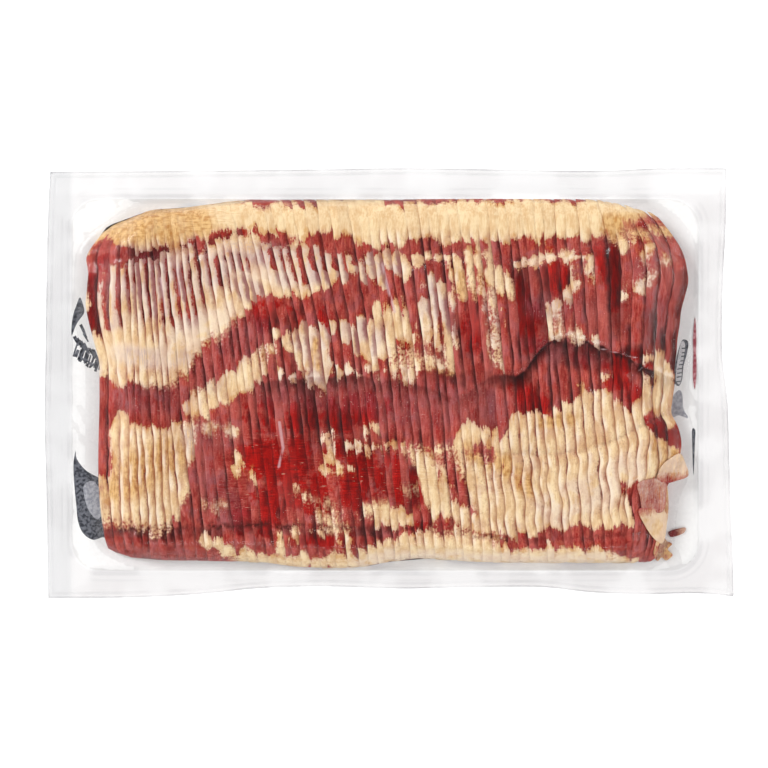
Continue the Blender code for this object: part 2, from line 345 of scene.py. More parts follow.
# ---------------------------------------------------------------------------------------------
# Fat and lean: where the belly's seams run, in millimetres over the slab's plan
# ---------------------------------------------------------------------------------------------
# Each band is a row of stations: X, its low edge and its high edge
FAT_BANDS = (
    # back band and the wide field of fat at the left
    ((-206, 30, 130), (-195, 12, 130), (-186, 0, 130), (-170, 0, 130), (-158, -2, 130), (-148, -2, 130),
     (-139, 3, 130), (-130, 17, 130), (-120, 27, 130), (-108, 37, 130), (-98, 44, 130), (-90, 54, 130),
     (-80, 58, 130), (-60, 58, 130), (-45, 63, 130), (-30, 68, 130), (-15, 72, 130), (0, 72, 130),
     (12, 75, 130), (24, 79, 130), (34, 84, 130), (60, 90, 130), (80, 92, 130), (206, 96, 130)),
    # slanting seam below it
    ((-138, -17, -14), (-132, -21, -8), (-120, -20, -1), (-110, -14, 4), (-100, -8, 13), (-90, -2, 20),
     (-83, 5, 25), (-78, 15, 22)),
    # block above the middle crease
    ((-76, 28, 32), (-68, 26, 36), (-62, 18, 37), (-57, 2, 38), (-48, 1, 39), (-41, 2, 38), (-39, 26, 39),
     (-30, 27, 38), (-22, 26, 40), (-16, 14, 42), (-10, 8, 45), (-4, 14, 49), (4, 22, 48), (12, 27, 40),
     (16, 30, 34)),
    # wide field of fat at the front right
    ((-2, -41, -38), (8, -46, -43), (15, -50, -44), (20, -62, -45), (24, -82, -45), (29, -88, -45),
     (36, -93, -45), (43, -96, -44), (47, -98, -29), (60, -100, -30), (78, -101, -31), (84, -101, -21),
     (100, -98, -22), (118, -97, -15), (128, -97, -7), (137, -97, -3), (144, -97, -6), (152, -96, -12),
     (164, -90, -12), (169, -70, 12), (176, -66, 18), (184, -63, 16), (192, -60, 6)),
    # block at the front left
    ((-192, -90, -64), (-187, -93, -40), (-182, -95, -22), (-170, -97, -27), (-158, -98, -28),
     (-150, -97, -29), (-145, -91, -27), (-139, -84, -26), (-134, -60, -26), (-130, -38, -28)),
    # fat along the front edge
    ((-130, -108, -104), (-120, -109, -101), (-112, -114, -108), (-100, -124, -112), (-80, -126, -114),
     (-50, -126, -115), (-28, -126, -113), (-10, -126, -108), (4, -126, -103), (14, -126, -101),
     (40, -126, -97), (62, -126, -100), (80, -126, -108), (110, -126, -110), (140, -126, -111),
     (156, -126, -114), (166, -126, -119)),
    # pocket of fat in the front middle
    ((-15, -86, -83), (-8, -93, -80), (0, -96, -81), (10, -95, -83), (18, -92, -86)),
)
LEAN_BANDS = (
    # thin line of lean under the back band
    ((-205, 72, 79), (-198, 69, 94), (-190, 72, 96), (-184, 78, 95), (-177, 77, 90), (-168, 81, 89),
     (-158, 84, 90), (-146, 88, 92), (-136, 91.5, 92.5), (-127, 88, 97), (-118, 93, 101), (-108, 97, 102),
     (-98, 98, 102), (-86, 95, 102), (-72, 92, 99), (-62, 92, 97), (-52, 90, 99), (-40, 86, 99),
     (-28, 86, 97), (-18, 84, 94), (-8, 86, 92), (0, 88, 91), (8, 85, 94), (24, 84, 95), (44, 84, 94),
     (64, 84, 94), (78, 84, 96), (92, 87, 97), (110, 88, 96), (130, 86, 96), (150, 70, 97), (206, 60, 96)),
    # lean near the front edge on the right
    ((72, -107, -104), (80, -110, -104), (90, -110, -104), (110, -110, -101.5), (140, -111, -99),
     (156, -117, -95), (172, -121, -92)),
)
# Streaks of one in the other, each with its start, end and radius
FAT_STREAKS = (
    ((58, 80), (76, 66), 6.2), ((8, 20), (12, 2), 3.0), ((20, 14), (38, 9), 3.4),
    ((22, 50), (22, 30), 2.0), ((32, 60), (34, 44), 2.0), ((-30, -42), (-6, -44), 1.5),
    ((150, 100), (157, 92), 4.0), ((28, 64), (30, 24), 2.6), ((36, 62), (42, 8), 2.6),
    ((45, 82), (50, 60), 2.2), ((52, 86), (54, 64), 2.6), ((60, 88), (62, 58), 3.0),
    ((66, 62), (70, 16), 3.2), ((4, 50), (10, 30), 2.6), ((24, 40), (22, 16), 1.6),
    ((2, 24), (4, 4), 1.4), ((14, 22), (14, 4), 1.2), ((82, 77), (96, 80), 1.8),
    ((96, 81), (112, 84), 2.4), ((112, 84), (133, 84), 2.4), ((129, 80), (127, 66), 2.4),
    ((127, 66), (118, 60), 2.2), ((118, 60), (112, 46), 2.4), ((112, 44), (115, 32), 2.2),
    ((113, 31), (138, 29), 1.8), ((163, 62), (172, 66), 1.3), ((172, 68), (186, 80), 1.3),
    ((168, 84), (176, 92), 2.0), ((158, 58), (166, 62), 1.2), ((-41, -33), (-39, -52), 1.6),
    ((-39, -52), (-25, -58), 1.3), ((-46, -57), (-28, -58), 1.0), ((-10, -30), (-4, -38), 2.2),
    ((-4, -38), (6, -42), 2.4), ((-24, -47), (-9, -45), 1.2), ((-60, -72), (-52, -75), 1.3),
    ((-101, -48), (-96, -58), 2.1), ((-96, -58), (-88, -67), 1.8), ((-46, -88), (-36, -96), 2.6),
    ((-40, -80), (-37, -90), 1.6), ((-50, -97), (-38, -98), 1.3), ((-122, -30), (-104, -32), 1.6),
    ((-30, -98), (-28, -112), 1.6), ((-75, -100), (-72, -114), 1.0), ((-120, -80), (-110, -84), 0.9),
    ((140, 2), (150, 4), 1.2), ((-62, -98), (-66, -108), 1.4), ((-105, -57), (-96, -58), 0.7),
    ((12, -70), (16, -73), 0.9), ((128, -3), (132, -12), 2.0), ((-72, 5), (-58, 4.5), 0.9),
    ((-46, 7), (-22, 8.5), 1.2), ((-16, 8), (10, 6), 0.9),
)
LEAN_STREAKS = (
    ((38, -52), (49, -76), 6.6), ((49, -76), (56, -84), 3.6), ((58, -42), (66, -48), 3.6),
    ((24, -93), (40, -96), 5.6), ((80, -54), (88, -68), 1.0), ((174, -26), (190, -37), 6.5),
    ((160, 104), (184, 108), 3.8), ((-191, 74), (-189, 44), 1.9), ((-36, 20), (-20, 8), 5.5),
    ((-74, 16), (-64, 4), 6.5), ((-70, 18), (-70, -2), 6.0), ((2, 14), (8, -4), 5.0),
    ((162, -72), (170, -94), 5.0), ((-192, -20), (-188, -60), 4.0), ((-199, 72), (-198, 34), 4.6),
    ((172, 10), (175, 0), 4.0),
)
# Where each slice's seams turn to lean just below its tip, so that the gaps between strips are red
RED_GAPS = (
    ((-170, 66), (-142, 58), 24.0), ((-128, 86), (-118, 72), 10.0), ((-190, 62), (-188, 40), 8.0),
    ((-106, 84), (-96, 78), 6.0), ((-80, 84), (-20, 82), 9.0), ((-64, 78), (-60, 70), 6.0),
)
# Where the strips' bodies take a lavender tint and their sides toward the neighbour a painted mauve shade
LAVENDER_AND_SHADE = (
    ((-70, 76), (0, 78), 11.0), ((-100, 66), (-90, 60), 8.0), ((-52, 32), (-48, 6), 8.0),
    ((24, 50), (60, 40), 12.0), ((-60, 34), (-10, 30), 9.0),
)
# Where the slices show their darkest, most shaded lean
DEEP = (
    ((92, 72), (94, 34), 12.0), ((105, 66), (106, 38), 6.0), ((150, 90), (151, 34), 7.0),
    ((187, 30), (184, 14), 8.0), ((112, 18), (142, 14), 8.0), ((-200, 68), (-199, 32), 6.0),
    ((-118, 94), (-100, 98), 4.0), ((-52, -4), (-44, -30), 12.0), ((-98, -95), (-86, -98), 5.0),
    ((182, -32), (189, -38), 8.0), ((44, 46), (46, 30), 4.0), ((170, 44), (172, 24), 6.0),
    ((-60, 26), (-66, 4), 5.0), ((-140, 90), (-170, 86), 5.0), ((62, -12), (64, -34), 8.0),
    ((30, 4), (90, 2), 5.0), ((-186, -100), (-110, -100), 4.0), ((196, 70), (192, 40), 6.0),
    ((-110, -98), (-4, -99), 3.5), ((-202, 66), (-201, 34), 7.0), ((14, -60), (16, -80), 6.0),
    ((-80, 40), (-60, 46), 4.0), ((130, 60), (134, 36), 5.0), ((160, 20), (178, 16), 6.0),
)
# Where the fat is nearly white
WHITE = (
    ((84, 78), (136, 84), 8.0), ((128, 76), (114, 30), 10.0), ((112, 31), (140, 29), 5.0),
    ((-72, 6), (10, 7), 4.0), ((165, 60), (186, 88), 14.0), ((-45, -30), (-8, -58), 11.0),
    ((66, 60), (70, 16), 7.0), ((24, 62), (34, 10), 6.0), ((-20, 60), (-8, 20), 5.0),
    ((-110, 80), (-60, 74), 12.0), ((-150, 20), (-110, 48), 12.0), ((-50, 30), (-36, 8), 5.0),
    ((-180, 20), (-150, 14), 7.0), ((110, -84), (160, -62), 14.0), ((-20, -118), (150, -119), 6.0),
)
# Where neighbouring slices differ most
STREAKY = (((10, 60), (60, 50), 30.0), ((84, 40), (120, 45), 14.0), ((-60, 30), (-10, 30), 14.0))
# Where the film lies wet on the lean and it shows its deepest red
WET_SPOTS = (
    ((-84, 46), (-52, 42), 11.0), ((-88, -22), (-12, -18), 13.0), ((-88, -50), (-12, -56), 16.0),
    ((-90, -82), (-10, -66), 15.0), ((0, -56), (14, -72), 12.0), ((-100, -92), (-80, -94), 9.0),
    ((82, 60), (96, 30), 12.0), ((144, 90), (152, 52), 6.0), ((88, -4), (96, -16), 9.0),
    ((128, 18), (166, 14), 8.0), ((150, 2), (162, -8), 7.0), ((56, 56), (58, 24), 7.0),
    ((176, -28), (190, -34), 8.0), ((14, 30), (16, 8), 6.0), ((20, -98), (42, -98), 6.0),
    ((118, 72), (124, 52), 6.0), ((110, 72), (112, 66), 9.0), ((-116, 95), (-100, 99), 5.0),
    ((150, 96), (178, 104), 6.0), ((-60, -100), (-30, -104), 8.0), ((-202, 68), (-200, 34), 6.0),
    ((-190, 80), (-150, 86), 6.0),
)
# Where the fat is smoked tan
SMOKED = (
    ((-196, 106), (-130, 104), 15.0), ((-44, 96), (-20, 95), 3.0), ((56, -44), (66, -50), 8.0),
    ((74, -52), (92, -70), 7.0), ((-4, -74), (0, -60), 7.0), ((150, 104), (190, 106), 10.0),
    ((46, 72), (52, 56), 4.0), ((-182, -68), (-148, -48), 14.0), ((100, -26), (120, -24), 5.0),
    ((180, -40), (190, -56), 9.0), ((-50, 28), (-46, 8), 4.0),
)
# Where a violet bloom of trapped air dulls the slices
BLOOM = (
    ((-180, 72), (-120, 74), 17.0), ((-110, 88), (-70, 86), 8.0), ((-80, -6), (60, -10), 12.0),
    ((90, 22), (140, 20), 9.0), ((-175, -10), (-140, -12), 10.0), ((100, 52), (124, 48), 10.0),
    ((170, 76), (180, 36), 10.0), ((-178, 18), (-136, 16), 7.0), ((-130, -38), (-110, -34), 12.0),
    ((20, 60), (30, 66), 8.0), ((-124, -58), (-106, -86), 12.0), ((0, -20), (74, -18), 13.0),
    ((-118, 6), (-92, 34), 13.0),
)
# Where fat and lean run into each other without a clear seam
SMEARED = (
    ((-136, 6), (-108, 34), 12.0), ((-138, -66), (-122, -80), 16.0), ((-190, -92), (-150, -98), 7.0),
    ((-130, -30), (-110, -36), 10.0), ((0, -60), (24, -76), 9.0), ((-40, -94), (-6, -84), 8.0),
    ((52, 62), (76, 66), 8.0), ((66, 50), (70, 16), 5.0), ((6, 18), (38, 10), 7.0),
    ((-96, 6), (-84, 18), 6.0), ((112, 40), (120, 30), 6.0), ((160, 70), (190, 86), 8.0),
    ((20, -48), (62, -52), 10.0), ((150, 100), (188, 106), 8.0), ((-160, 4), (-130, -2), 7.0),
    ((-60, -80), (-20, -88), 9.0), ((70, -104), (30, -98), 6.0), ((-186, -88), (-150, -94), 7.0),
)
# Lavender glints where the film pulls tight along a strip's edge
SHEEN = (
    ((-4.9, 81), (-0.6, 62), 0.8), ((-0.6, 62), (4, 47), 0.8), ((-73, -26), (-70.5, -43), 0.9),
    ((-70.5, -43), (-73.4, -56), 0.8), ((-152, 70), (-148, 44), 0.7), ((-141, 76), (-139, 58), 0.6),
    ((137, 24), (164, 17), 0.4), ((162, 5), (173, 14), 0.3), ((133, -3), (142, -15), 0.4),
)
# Where drawn-out fibres and thin seams of fat run across the strips
FIBROUS = (
    ((-96, -66), (0, -64), 24.0), ((-90, -38), (-30, -36), 10.0), ((30, -60), (90, -70), 14.0),
    ((-190, 112), (-110, 112), 14.0),
)


def fatness(x, y):
    """Signed distance in millimetres to the nearest seam's edge: above 0 in fat, below 0 in lean."""
    inside = np.full(np.broadcast(x, y).shape, -30.0)
    for stations in FAT_BANDS:
        inside = np.maximum(inside, band(x, y, stations))
    for stations in LEAN_BANDS:
        inside = np.minimum(inside, -band(x, y, stations))
    for start, end, radius in LEAN_STREAKS:
        inside = np.minimum(inside, -streak(x, y, start, end, radius))
    back_edge = smooth_line(BACK_ENDS, x) - 3.4 - 1.2 * wander(x, 4.0, 11.0, 46)
    outer = eased((x + 104) / 4) * eased((-44 - x) / 4) + eased((x + 6) / 4) * eased((136 - x) / 8)
    inside = np.minimum(inside, (back_edge - y) + (1 - outer) * 30)
    for start, end, radius in FAT_STREAKS:
        inside = np.maximum(inside, streak(x, y, start, end, radius))
    return inside


# A spot fades out past its radius, over a share of it
SPOT_REACH, SPOT_SOFTNESS = 1.3, 0.8


def spread(x, y, spots):
    """0 to 1 over a few soft-edged spots, each a streak with a start, an end and a radius."""
    amount = np.zeros(np.broadcast(x, y).shape)
    for start, end, radius in spots:
        inside = streak(x, y, start, end, radius * SPOT_REACH)
        amount = np.maximum(amount, eased(inside / (radius * SPOT_SOFTNESS)))
    return amount


def fold_shadow_line(x, y):
    """0 to 1 along the two lesser folds, where a thin line of painted shade shows."""
    front = np.exp(-((y - smooth_line(FRONT_CREASE, x) - 1.3 * wander(x, 3.0, 4.0, 62)) / 1.4) ** 2)
    front = front * (1 - 0.6 * eased((x - 74) / 14))
    bend = np.exp(-((y - smooth_line(FOLD_IN_FRONT, x) - 0.6 * wander(x, 9.0, 5.0, 63)) / 0.9) ** 2)
    return np.clip(front * (0.75 + 0.5 * wander(x, 5.0, 12.0, 64)) + 0.6 * bend * eased((x - 70) / 14), 0, 1)


def slice_looks(number, x, y, chance):
    """Per-point values that the pork's material reads: distances in millimetres, and shares."""
    tip = tip_line(number, y)
    below = np.maximum(x - tip, 0.0)

    # seams step from slice to slice: each slice takes most of its colour from near its own tip
    look_x = tip + 2.6 + 0.45 * (x - tip - 2.6) + chance["shift"] * 1.2
    look_x = np.minimum(look_x, tip + 9.0)
    streaky = spread(look_x, y, STREAKY)
    look_y = y + chance["slide"] * (2.0 + 3.4 * streaky) + wander(y, 50.0 * number, 9.0, 31) * 1.2

    # ragged seams, fatter in the middle of a strip, lean below its tip where the gaps are red
    fat = fatness(look_x, look_y) + chance["swing"] * 3.5 * streaky
    fat = fat + 1.3 * wander(look_x * 1.5, look_y, 6.0, 32) + 0.9 * wander(x * 2.0, y, 3.0, 33)
    to_next = tip_line(number + 1, y) - x
    middle = 1 - np.abs(2 * np.clip(below / np.maximum(below + to_next, 2.0), 0, 1) - 0.85)
    fat = fat + middle * (0.9 + 2.4 * streaky)
    open_gap = spread(look_x, look_y, RED_GAPS) * (1.35 + 0.7 * wander(look_x * 3, look_y, 16.0, 43))
    fat = np.minimum(fat, (3.2 - below + 0.6 * chance["swing"]) * 1.8 + (1 - np.minimum(open_gap, 1)) * 15)
    fat = fat + (chance["slant"] * 0.9 + 0.5 * wander(y, 60.0 * number, 17.0, 34)) * (below - 3.0)

    # patches that several slices share, and each slice's own
    patches = wander(look_x, look_y, 22.0, 41) * 0.35 + wander(look_x * 3, look_y, 14.0, 42) * 0.45
    own = wander(y, 37.0 * number, 26.0, 44)
    wet = spread(look_x, y, WET_SPOTS) * (0.62 + patches + 0.55 * own) + 0.14 + 0.2 * patches + 0.18 * own
    looks = {
        "fat": fat,
        "below": below,
        "to_next": to_next,
        "wet": np.clip(wet, 0, 1),
        "relief": relief(x, y),
        "rim": y - crease_line(x),
        "step": step_mark(x),
        "fold": fold_shadow_line(x, y),
        "chance": 0.6 * chance["tone"] + 0.8 * wander(y, 29.0 * number, 30.0, 45),
        "sheen": np.maximum.reduce([streak(x, y, *line) for line in SHEEN]),
    }
    for label, spots, at_y, strength in (
            ("smoke", SMOKED, y, 0.85 + 0.4 * patches),
            ("bloom", BLOOM, y, 0.7 + 0.8 * patches),
            ("across", FIBROUS, y, 1.0),
            ("smear", SMEARED, look_y, 1.0),
            ("deep", DEEP, look_y, 0.75 + 0.5 * own),
            ("flush", RED_GAPS + LAVENDER_AND_SHADE, look_y, 0.85 + 0.3 * own),
            ("white", WHITE, look_y, 1.0)):
        looks[label] = np.clip(spread(look_x, at_y, spots) * strength, 0, 1)
    return looks


# ---------------------------------------------------------------------------------------------
# Meshes
# ---------------------------------------------------------------------------------------------
def new_piece(name, points, faces, material, looks=None, sharp=50):
    """A mesh object from points in millimetres, with one float attribute for each look."""
    mesh = bpy.data.meshes.new(name)
    mesh.from_pydata((np.asarray(points) * MM).tolist(), [], faces)
    for label, values in (looks or {}).items():
        layer = mesh.attributes.new(label, "FLOAT", "POINT")
        layer.data.foreach_set("value", np.asarray(values, np.float32).ravel())
    mesh.materials.append(material)
    mesh.shade_smooth()
    mesh.set_sharp_from_angle(angle=math.radians(sharp))
    piece = bpy.data.objects.new(name, mesh)
    bpy.context.scene.collection.objects.link(piece)
    return piece


def ring_faces(ring_count, ring_size):
    """Quads between rings of points, and one face over each end."""
    faces = []
    for ring in range(ring_count - 1):
        low, high = ring * ring_size, (ring + 1) * ring_size
        for step in range(ring_size):
            after = (step + 1) % ring_size
            faces.append((low + step, low + after, high + after, high + step))
    faces.append(tuple(range(ring_size - 1, -1, -1)))
    faces.append(tuple(range((ring_count - 1) * ring_size, ring_count * ring_size)))
    return faces


def sheet_faces(rows, columns):
    """Quads of a flat grid whose points run row by row."""
    faces = []
    for row in range(rows - 1):
        for column in range(columns - 1):
            corner = row * columns + column
            faces.append((corner, corner + 1, corner + columns + 1, corner + columns))
    return faces


def finish_piece(piece):
    """Tie a piece to the pack's body."""
    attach(piece, BODY)
    return piece


def build_slice(number, material):
    """One slice: a rounded tip, an upper face bending down under its neighbour, and a lower face."""
    draws = np.random.default_rng(1000 + number)
    chance = {key: draws.uniform(-1, 1) for key in ("shift", "slide", "swing", "slant", "tone")}
    back = float(smooth_line(BACK_ENDS, slice_line(STARTS[number], 110.0)))
    front = float(smooth_line(FRONT_ENDS, slice_line(STARTS[number], -112.0)))
    back = min(back + draws.uniform(-0.5, 0.3), 123.2)
    front = max(front + draws.uniform(-0.3, 0.5), -124.8)
    y = np.linspace(front, back, int((back - front) / ALONG_STEP) + 1)[:, None]
    tip = tip_line(number, y)
    reach = np.clip((right_limit(y) - tip) / UPPER_STEPS[-1], 0.05, 1.0)
    upper = np.array(UPPER_STEPS)[None, :]
    lower = np.array(LOWER_STEPS)[None, :]
    nose_x = np.array([[-0.15, -0.35, -0.2]])
    x = np.concatenate((tip + upper * reach, tip + lower * reach, tip + nose_x), axis=1)

    # both ends follow the slab's outline, and the tail tucks in under the next slice
    share = (y - front) / (back - front)
    slide_front = (smooth_line(FRONT_ENDS, x) - smooth_line(FRONT_ENDS, tip)) * (1 - share) ** 8
    slide_back = (smooth_line(BACK_ENDS, x) - smooth_line(BACK_ENDS, tip)) * share ** 8
    tucked = 1.6 * eased((x - tip - 5) / 5)
    full_y = y + slide_front + slide_back + tucked * ((1 - share) ** 8 - share ** 8)
    over = envelope(x, full_y)
    top = face_height(number, x, full_y, over)
    if number:
        under = face_height(number - 1, x, full_y, over) + SLICE_GAP
    else:
        under = np.maximum(top - 3.0, FLOOR_OF_SLAB)
    under = np.minimum(under, top)

    # share of the slice's thickness at each point: full above, none below, and round at the nose
    nose = 0.55 + 0.45 * eased((upper[0] + 0.25) / NOSE_LENGTH)
    thickness_share = np.concatenate((nose, np.zeros(len(LOWER_STEPS)), (0.0, 0.3, 0.55)))
    z = under + (top - under) * thickness_share
    looks = slice_looks(number, x, full_y, chance)
    points = np.stack((x, full_y, z), axis=2).reshape(-1, 3)
    faces = ring_faces(len(y), x.shape[1])
    piece = new_piece(f"slice_{number + 1:02d}", points, faces, material, looks)
    return finish_piece(piece)


def visible_height(x, y):
    """Height of whatever lies uppermost under the film at each point of the plan."""
    height = np.full(x.shape, NOTHING_THERE)
    over = envelope(x, y)
    right_end = right_limit(y)
    for number in range(SLICE_COUNT):
        tip = tip_line(number, y)
        here = (x >= tip - 0.3) & (x < np.minimum(tip + UPPER_STEPS[-1], right_end))
        face = face_height(number, x, y, over)
        height = np.where(here, np.maximum(height, face), height)
    inside = (y <= smooth_line(BACK_ENDS, x)) & (y >= smooth_line(FRONT_ENDS, x))
    return np.where(inside, height, NOTHING_THERE)


def rim_distance(x, y):
    """Distance inside the pocket's rounded rim; negative out on the flange."""
    middle_x, middle_y = (POCKET_LEFT + POCKET_RIGHT) / 2, (POCKET_FRONT + POCKET_BACK) / 2
    out_x = np.abs(x - middle_x) - ((POCKET_RIGHT - POCKET_LEFT) / 2 - POCKET_CORNER)
    out_y = np.abs(y - middle_y) - ((POCKET_BACK - POCKET_FRONT) / 2 - POCKET_CORNER)
    outside = np.hypot(np.maximum(out_x, 0), np.maximum(out_y, 0))
    return POCKET_CORNER - outside - np.minimum(np.maximum(out_x, out_y), 0)


def side_draws(x, y):
    """How far the film is drawn in from its straight plan at the left, right, front and back."""
    sides = ((LEFT_DRAW, y), (RIGHT_DRAW, y), (FRONT_DRAW, x), (BACK_DRAW, x))
    return [np.maximum(smooth_line(stations, at), 0) for stations, at in sides]


def draw_in(x, y):
    """Pull a grid of the film's straight-sided plan in to its cut edge, over the flange's width."""
    half_length, half_width = PACK_LENGTH / 2, PACK_WIDTH / 2
    from_sides = (x + half_length, half_length - x, y + half_width, half_width - y)
    left, right, front, back = (draw * np.clip(1 - from_side / FLANGE_WIDTH, 0, 1)
                                for draw, from_side in zip(side_draws(x, y), from_sides))
    return x + left - right, y + front - back


def film_grid():
    """The film's plan, as two grids of millimetres."""
    columns = int(PACK_LENGTH / FILM_STEP_X)
    rows = int(PACK_WIDTH / FILM_STEP_Y)
    half_length = PACK_LENGTH / 2 - 0.05
    half_width = PACK_WIDTH / 2 - 0.05
    x, y = np.meshgrid(np.linspace(-half_length, half_length, columns),
                       np.linspace(-half_width, half_width, rows))
    return draw_in(x, y)


def settle_film(x, y):
    """Heights of the upper web: drawn down by vacuum until it lies on the slices or hangs between."""
    obstacle = visible_height(x, y) + SLICE_GAP

    # where the film is bare, with a soft edge
    bare = (obstacle < 0).astype(float)
    for _ in range(2):
        bare[1:-1, 1:-1] = (bare[1:-1, 1:-1] * 2 + bare[2:, 1:-1] + bare[:-2, 1:-1] + bare[1:-1, 2:]
                            + bare[1:-1, :-2]) / 6
    inside = rim_distance(x, y)
    flange = inside < 0
    ripple = 0.10 * wander(x, y, 18.0, 51) + 0.05 * wander(x, y, 6.0, 52)
    rest = FILM_LEVEL + np.abs(ripple)
    height = np.maximum(obstacle, rest)

    # each point settles to the mean of its neighbours, less the vacuum's pull, or on what lies under it
    pull_x, pull_y = 1 / FILM_STEP_X ** 2, 1 / FILM_STEP_Y ** 2
    whole_pull = 2 * pull_x + 2 * pull_y
    for _ in range(SETTLING_STEPS):
        middle = (pull_x * (height[1:-1, 2:] + height[1:-1, :-2])
                  + pull_y * (height[2:, 1:-1] + height[:-2, 1:-1]) - FILM_PRESSURE) / whole_pull
        height[1:-1, 1:-1] = np.maximum(middle, np.maximum(obstacle, rest)[1:-1, 1:-1])
        height[flange] = rest[flange]

    # wrinkles where it hangs free, and a bead along the rim
    gap = np.clip(height - np.maximum(obstacle, 0), 0, None)
    folds = np.maximum(wander(x * 0.9 + y * 0.6, y * 0.35, 5.0, 53), 0) * np.clip(gap / 4, 0, 1)
    height = height + 0.8 * folds * (inside > 0)
    bead = np.exp(-(inside / 1.1) ** 2) * 0.5
    return height + bead, gap, inside, bare


def edge_distance(x, y):
    """Distance in from the film's cut edge."""
    half_length, half_width = PACK_LENGTH / 2, PACK_WIDTH / 2
    from_sides = (x + half_length, half_length - x, y + half_width, half_width - y)
    return np.minimum.reduce([from_side - draw for draw, from_side in zip(side_draws(x, y), from_sides)])


def film_sheet(name, x, y, z, side, material, looks):
    """One web of film over a grid, thickened to one side: 1 is upwards and -1 is downwards."""
    rows, columns = x.shape
    points = np.stack((x, y, z), axis=2).reshape(-1, 3)
    web = new_piece(name, points, sheet_faces(rows, columns), material, looks, sharp=180)
    solid = web.modifiers.new("film_thickness", "SOLIDIFY")
    solid.thickness = FILM_THICKNESS * MM
    solid.offset = side
    return finish_piece(web)


def build_films(material):
    """The drawn-down upper web and the flat web under it."""
    x, y = film_grid()
    height, gap, inside, bare = settle_film(x, y)
    # the left flange is greyed most, and the back one less than the others
    upper = film_sheet("top_film", x, y, height, -1.0, material, {
        "air": np.clip(gap / 2.5, 0, 1) * (inside > 0),
        "bare": bare * (1 - 0.3 * eased((y - 125) / 4)),
        "left": eased((-211 - x) / 5),
        "rim": inside,
        "edge": edge_distance(x, y),
    })
    rows = sorted({*range(0, x.shape[0], 3), x.shape[0] - 1})
    columns = sorted({*range(0, x.shape[1], 6), x.shape[1] - 1})
    x, y = x[np.ix_(rows, columns)], y[np.ix_(rows, columns)]
    plain = {"air": 0.0, "bare": 0.0, "left": 0.0, "rim": -9.0, "edge": 9.0}
    looks = {label: np.full(x.shape, amount) for label, amount in plain.items()}
    film_sheet("bottom_film", x, y, np.full(x.shape, UNDER_FILM_LEVEL), 1.0, material, looks)
    return upper


# ---------------------------------------------------------------------------------------------
# Card, print and loose scraps
# ---------------------------------------------------------------------------------------------
CARD_LEFT, CARD_RIGHT, CARD_FRONT, CARD_BACK, CARD_CORNER = -213.2, 207.8, -125.8, 123.6, 19.0
# Lower and upper level of the board, of print on it, of print over print, and of bars over both
BOARD = (0.22, 0.42)
PRINT = (0.43, 0.45)
OVERPRINT = (0.455, 0.475)
TOP_PRINT = (0.48, 0.5)
# Places of the finishes in the card's list
BARE_BOARD, SLATE_INK, GREY_INK, PALE_INK = range(4)
# Print on the card: a ribbon, a dark wave with a pale lens in it, a banner, a tongue and a facet
RIBBON = (
    (-207.6, 57.5), (-205.2, 52), (-204.8, 47), (-208, 42.5), (-210.6, 38), (-213, 32), (-213.2, 38),
    (-212, 46), (-210, 52),
)
WAVE = (
    (-210.4, -45.5), (-209.6, -51), (-203, -59), (-192, -64.6), (-186, -66), (-184, -104),
    (-192, -103.4), (-198.8, -105.2), (-205.4, -100.8), (-208.8, -92.8), (-210, -82), (-211.3, -68.5),
    (-211.9, -55),
)
LENS = (
    (-205, -69), (-199.4, -65.6), (-194.4, -71), (-192.4, -84), (-195.4, -91.6), (-201, -86.4),
    (-204.2, -78),
)
BANNER = (
    (197, 29), (200.8, 27.6), (200, 20), (197.6, 11), (196.8, 3), (194.6, -2), (191, 0.6), (190.6, 5),
    (192, 13), (194.2, 22),
)
TONGUE = ((203.4, -31.4), (205.6, -32), (205.2, -42), (204.4, -62), (203.6, -45))
FACET = (
    (194.6, -4.6), (196.8, -7.6), (197.6, -17), (200.8, -23.4), (194.6, -21.6), (190, -22.6),
    (187.4, -14), (190.6, -8.6),
)
# The pale panel in the banner, as shares of its length and width
PANEL_SHARE = (0.6, 0.93)
BANNER_BAR = ((-1, -0.7), (1, -0.2), (1, 0.5), (-1, 0.1))
# Rows of slanting bars: first and last place, how many, half height, and how far they lean over
BAR_ROWS = (
    ((-213.0, 22.5), (-194.0, 11.0), 12, 3.8, 1.2),
    ((-212.0, 30.0), (-197.0, 18.5), 12, 3.4, -1.6),
    ((-206.0, 37.0), (-202.5, 30.0), 4, 2.2, -1.2),
    ((-206.0, 15.5), (-200.0, 12.0), 4, 1.4, 2.0),
)
JUICE_LENS = (
    (205.4, 44), (206.3, 30), (206.1, 22), (206.4, 8), (205.2, -4), (203.9, 6), (204.3, 20), (204, 30),
)
JUICE_LEVELS = (0.5, 1.1)
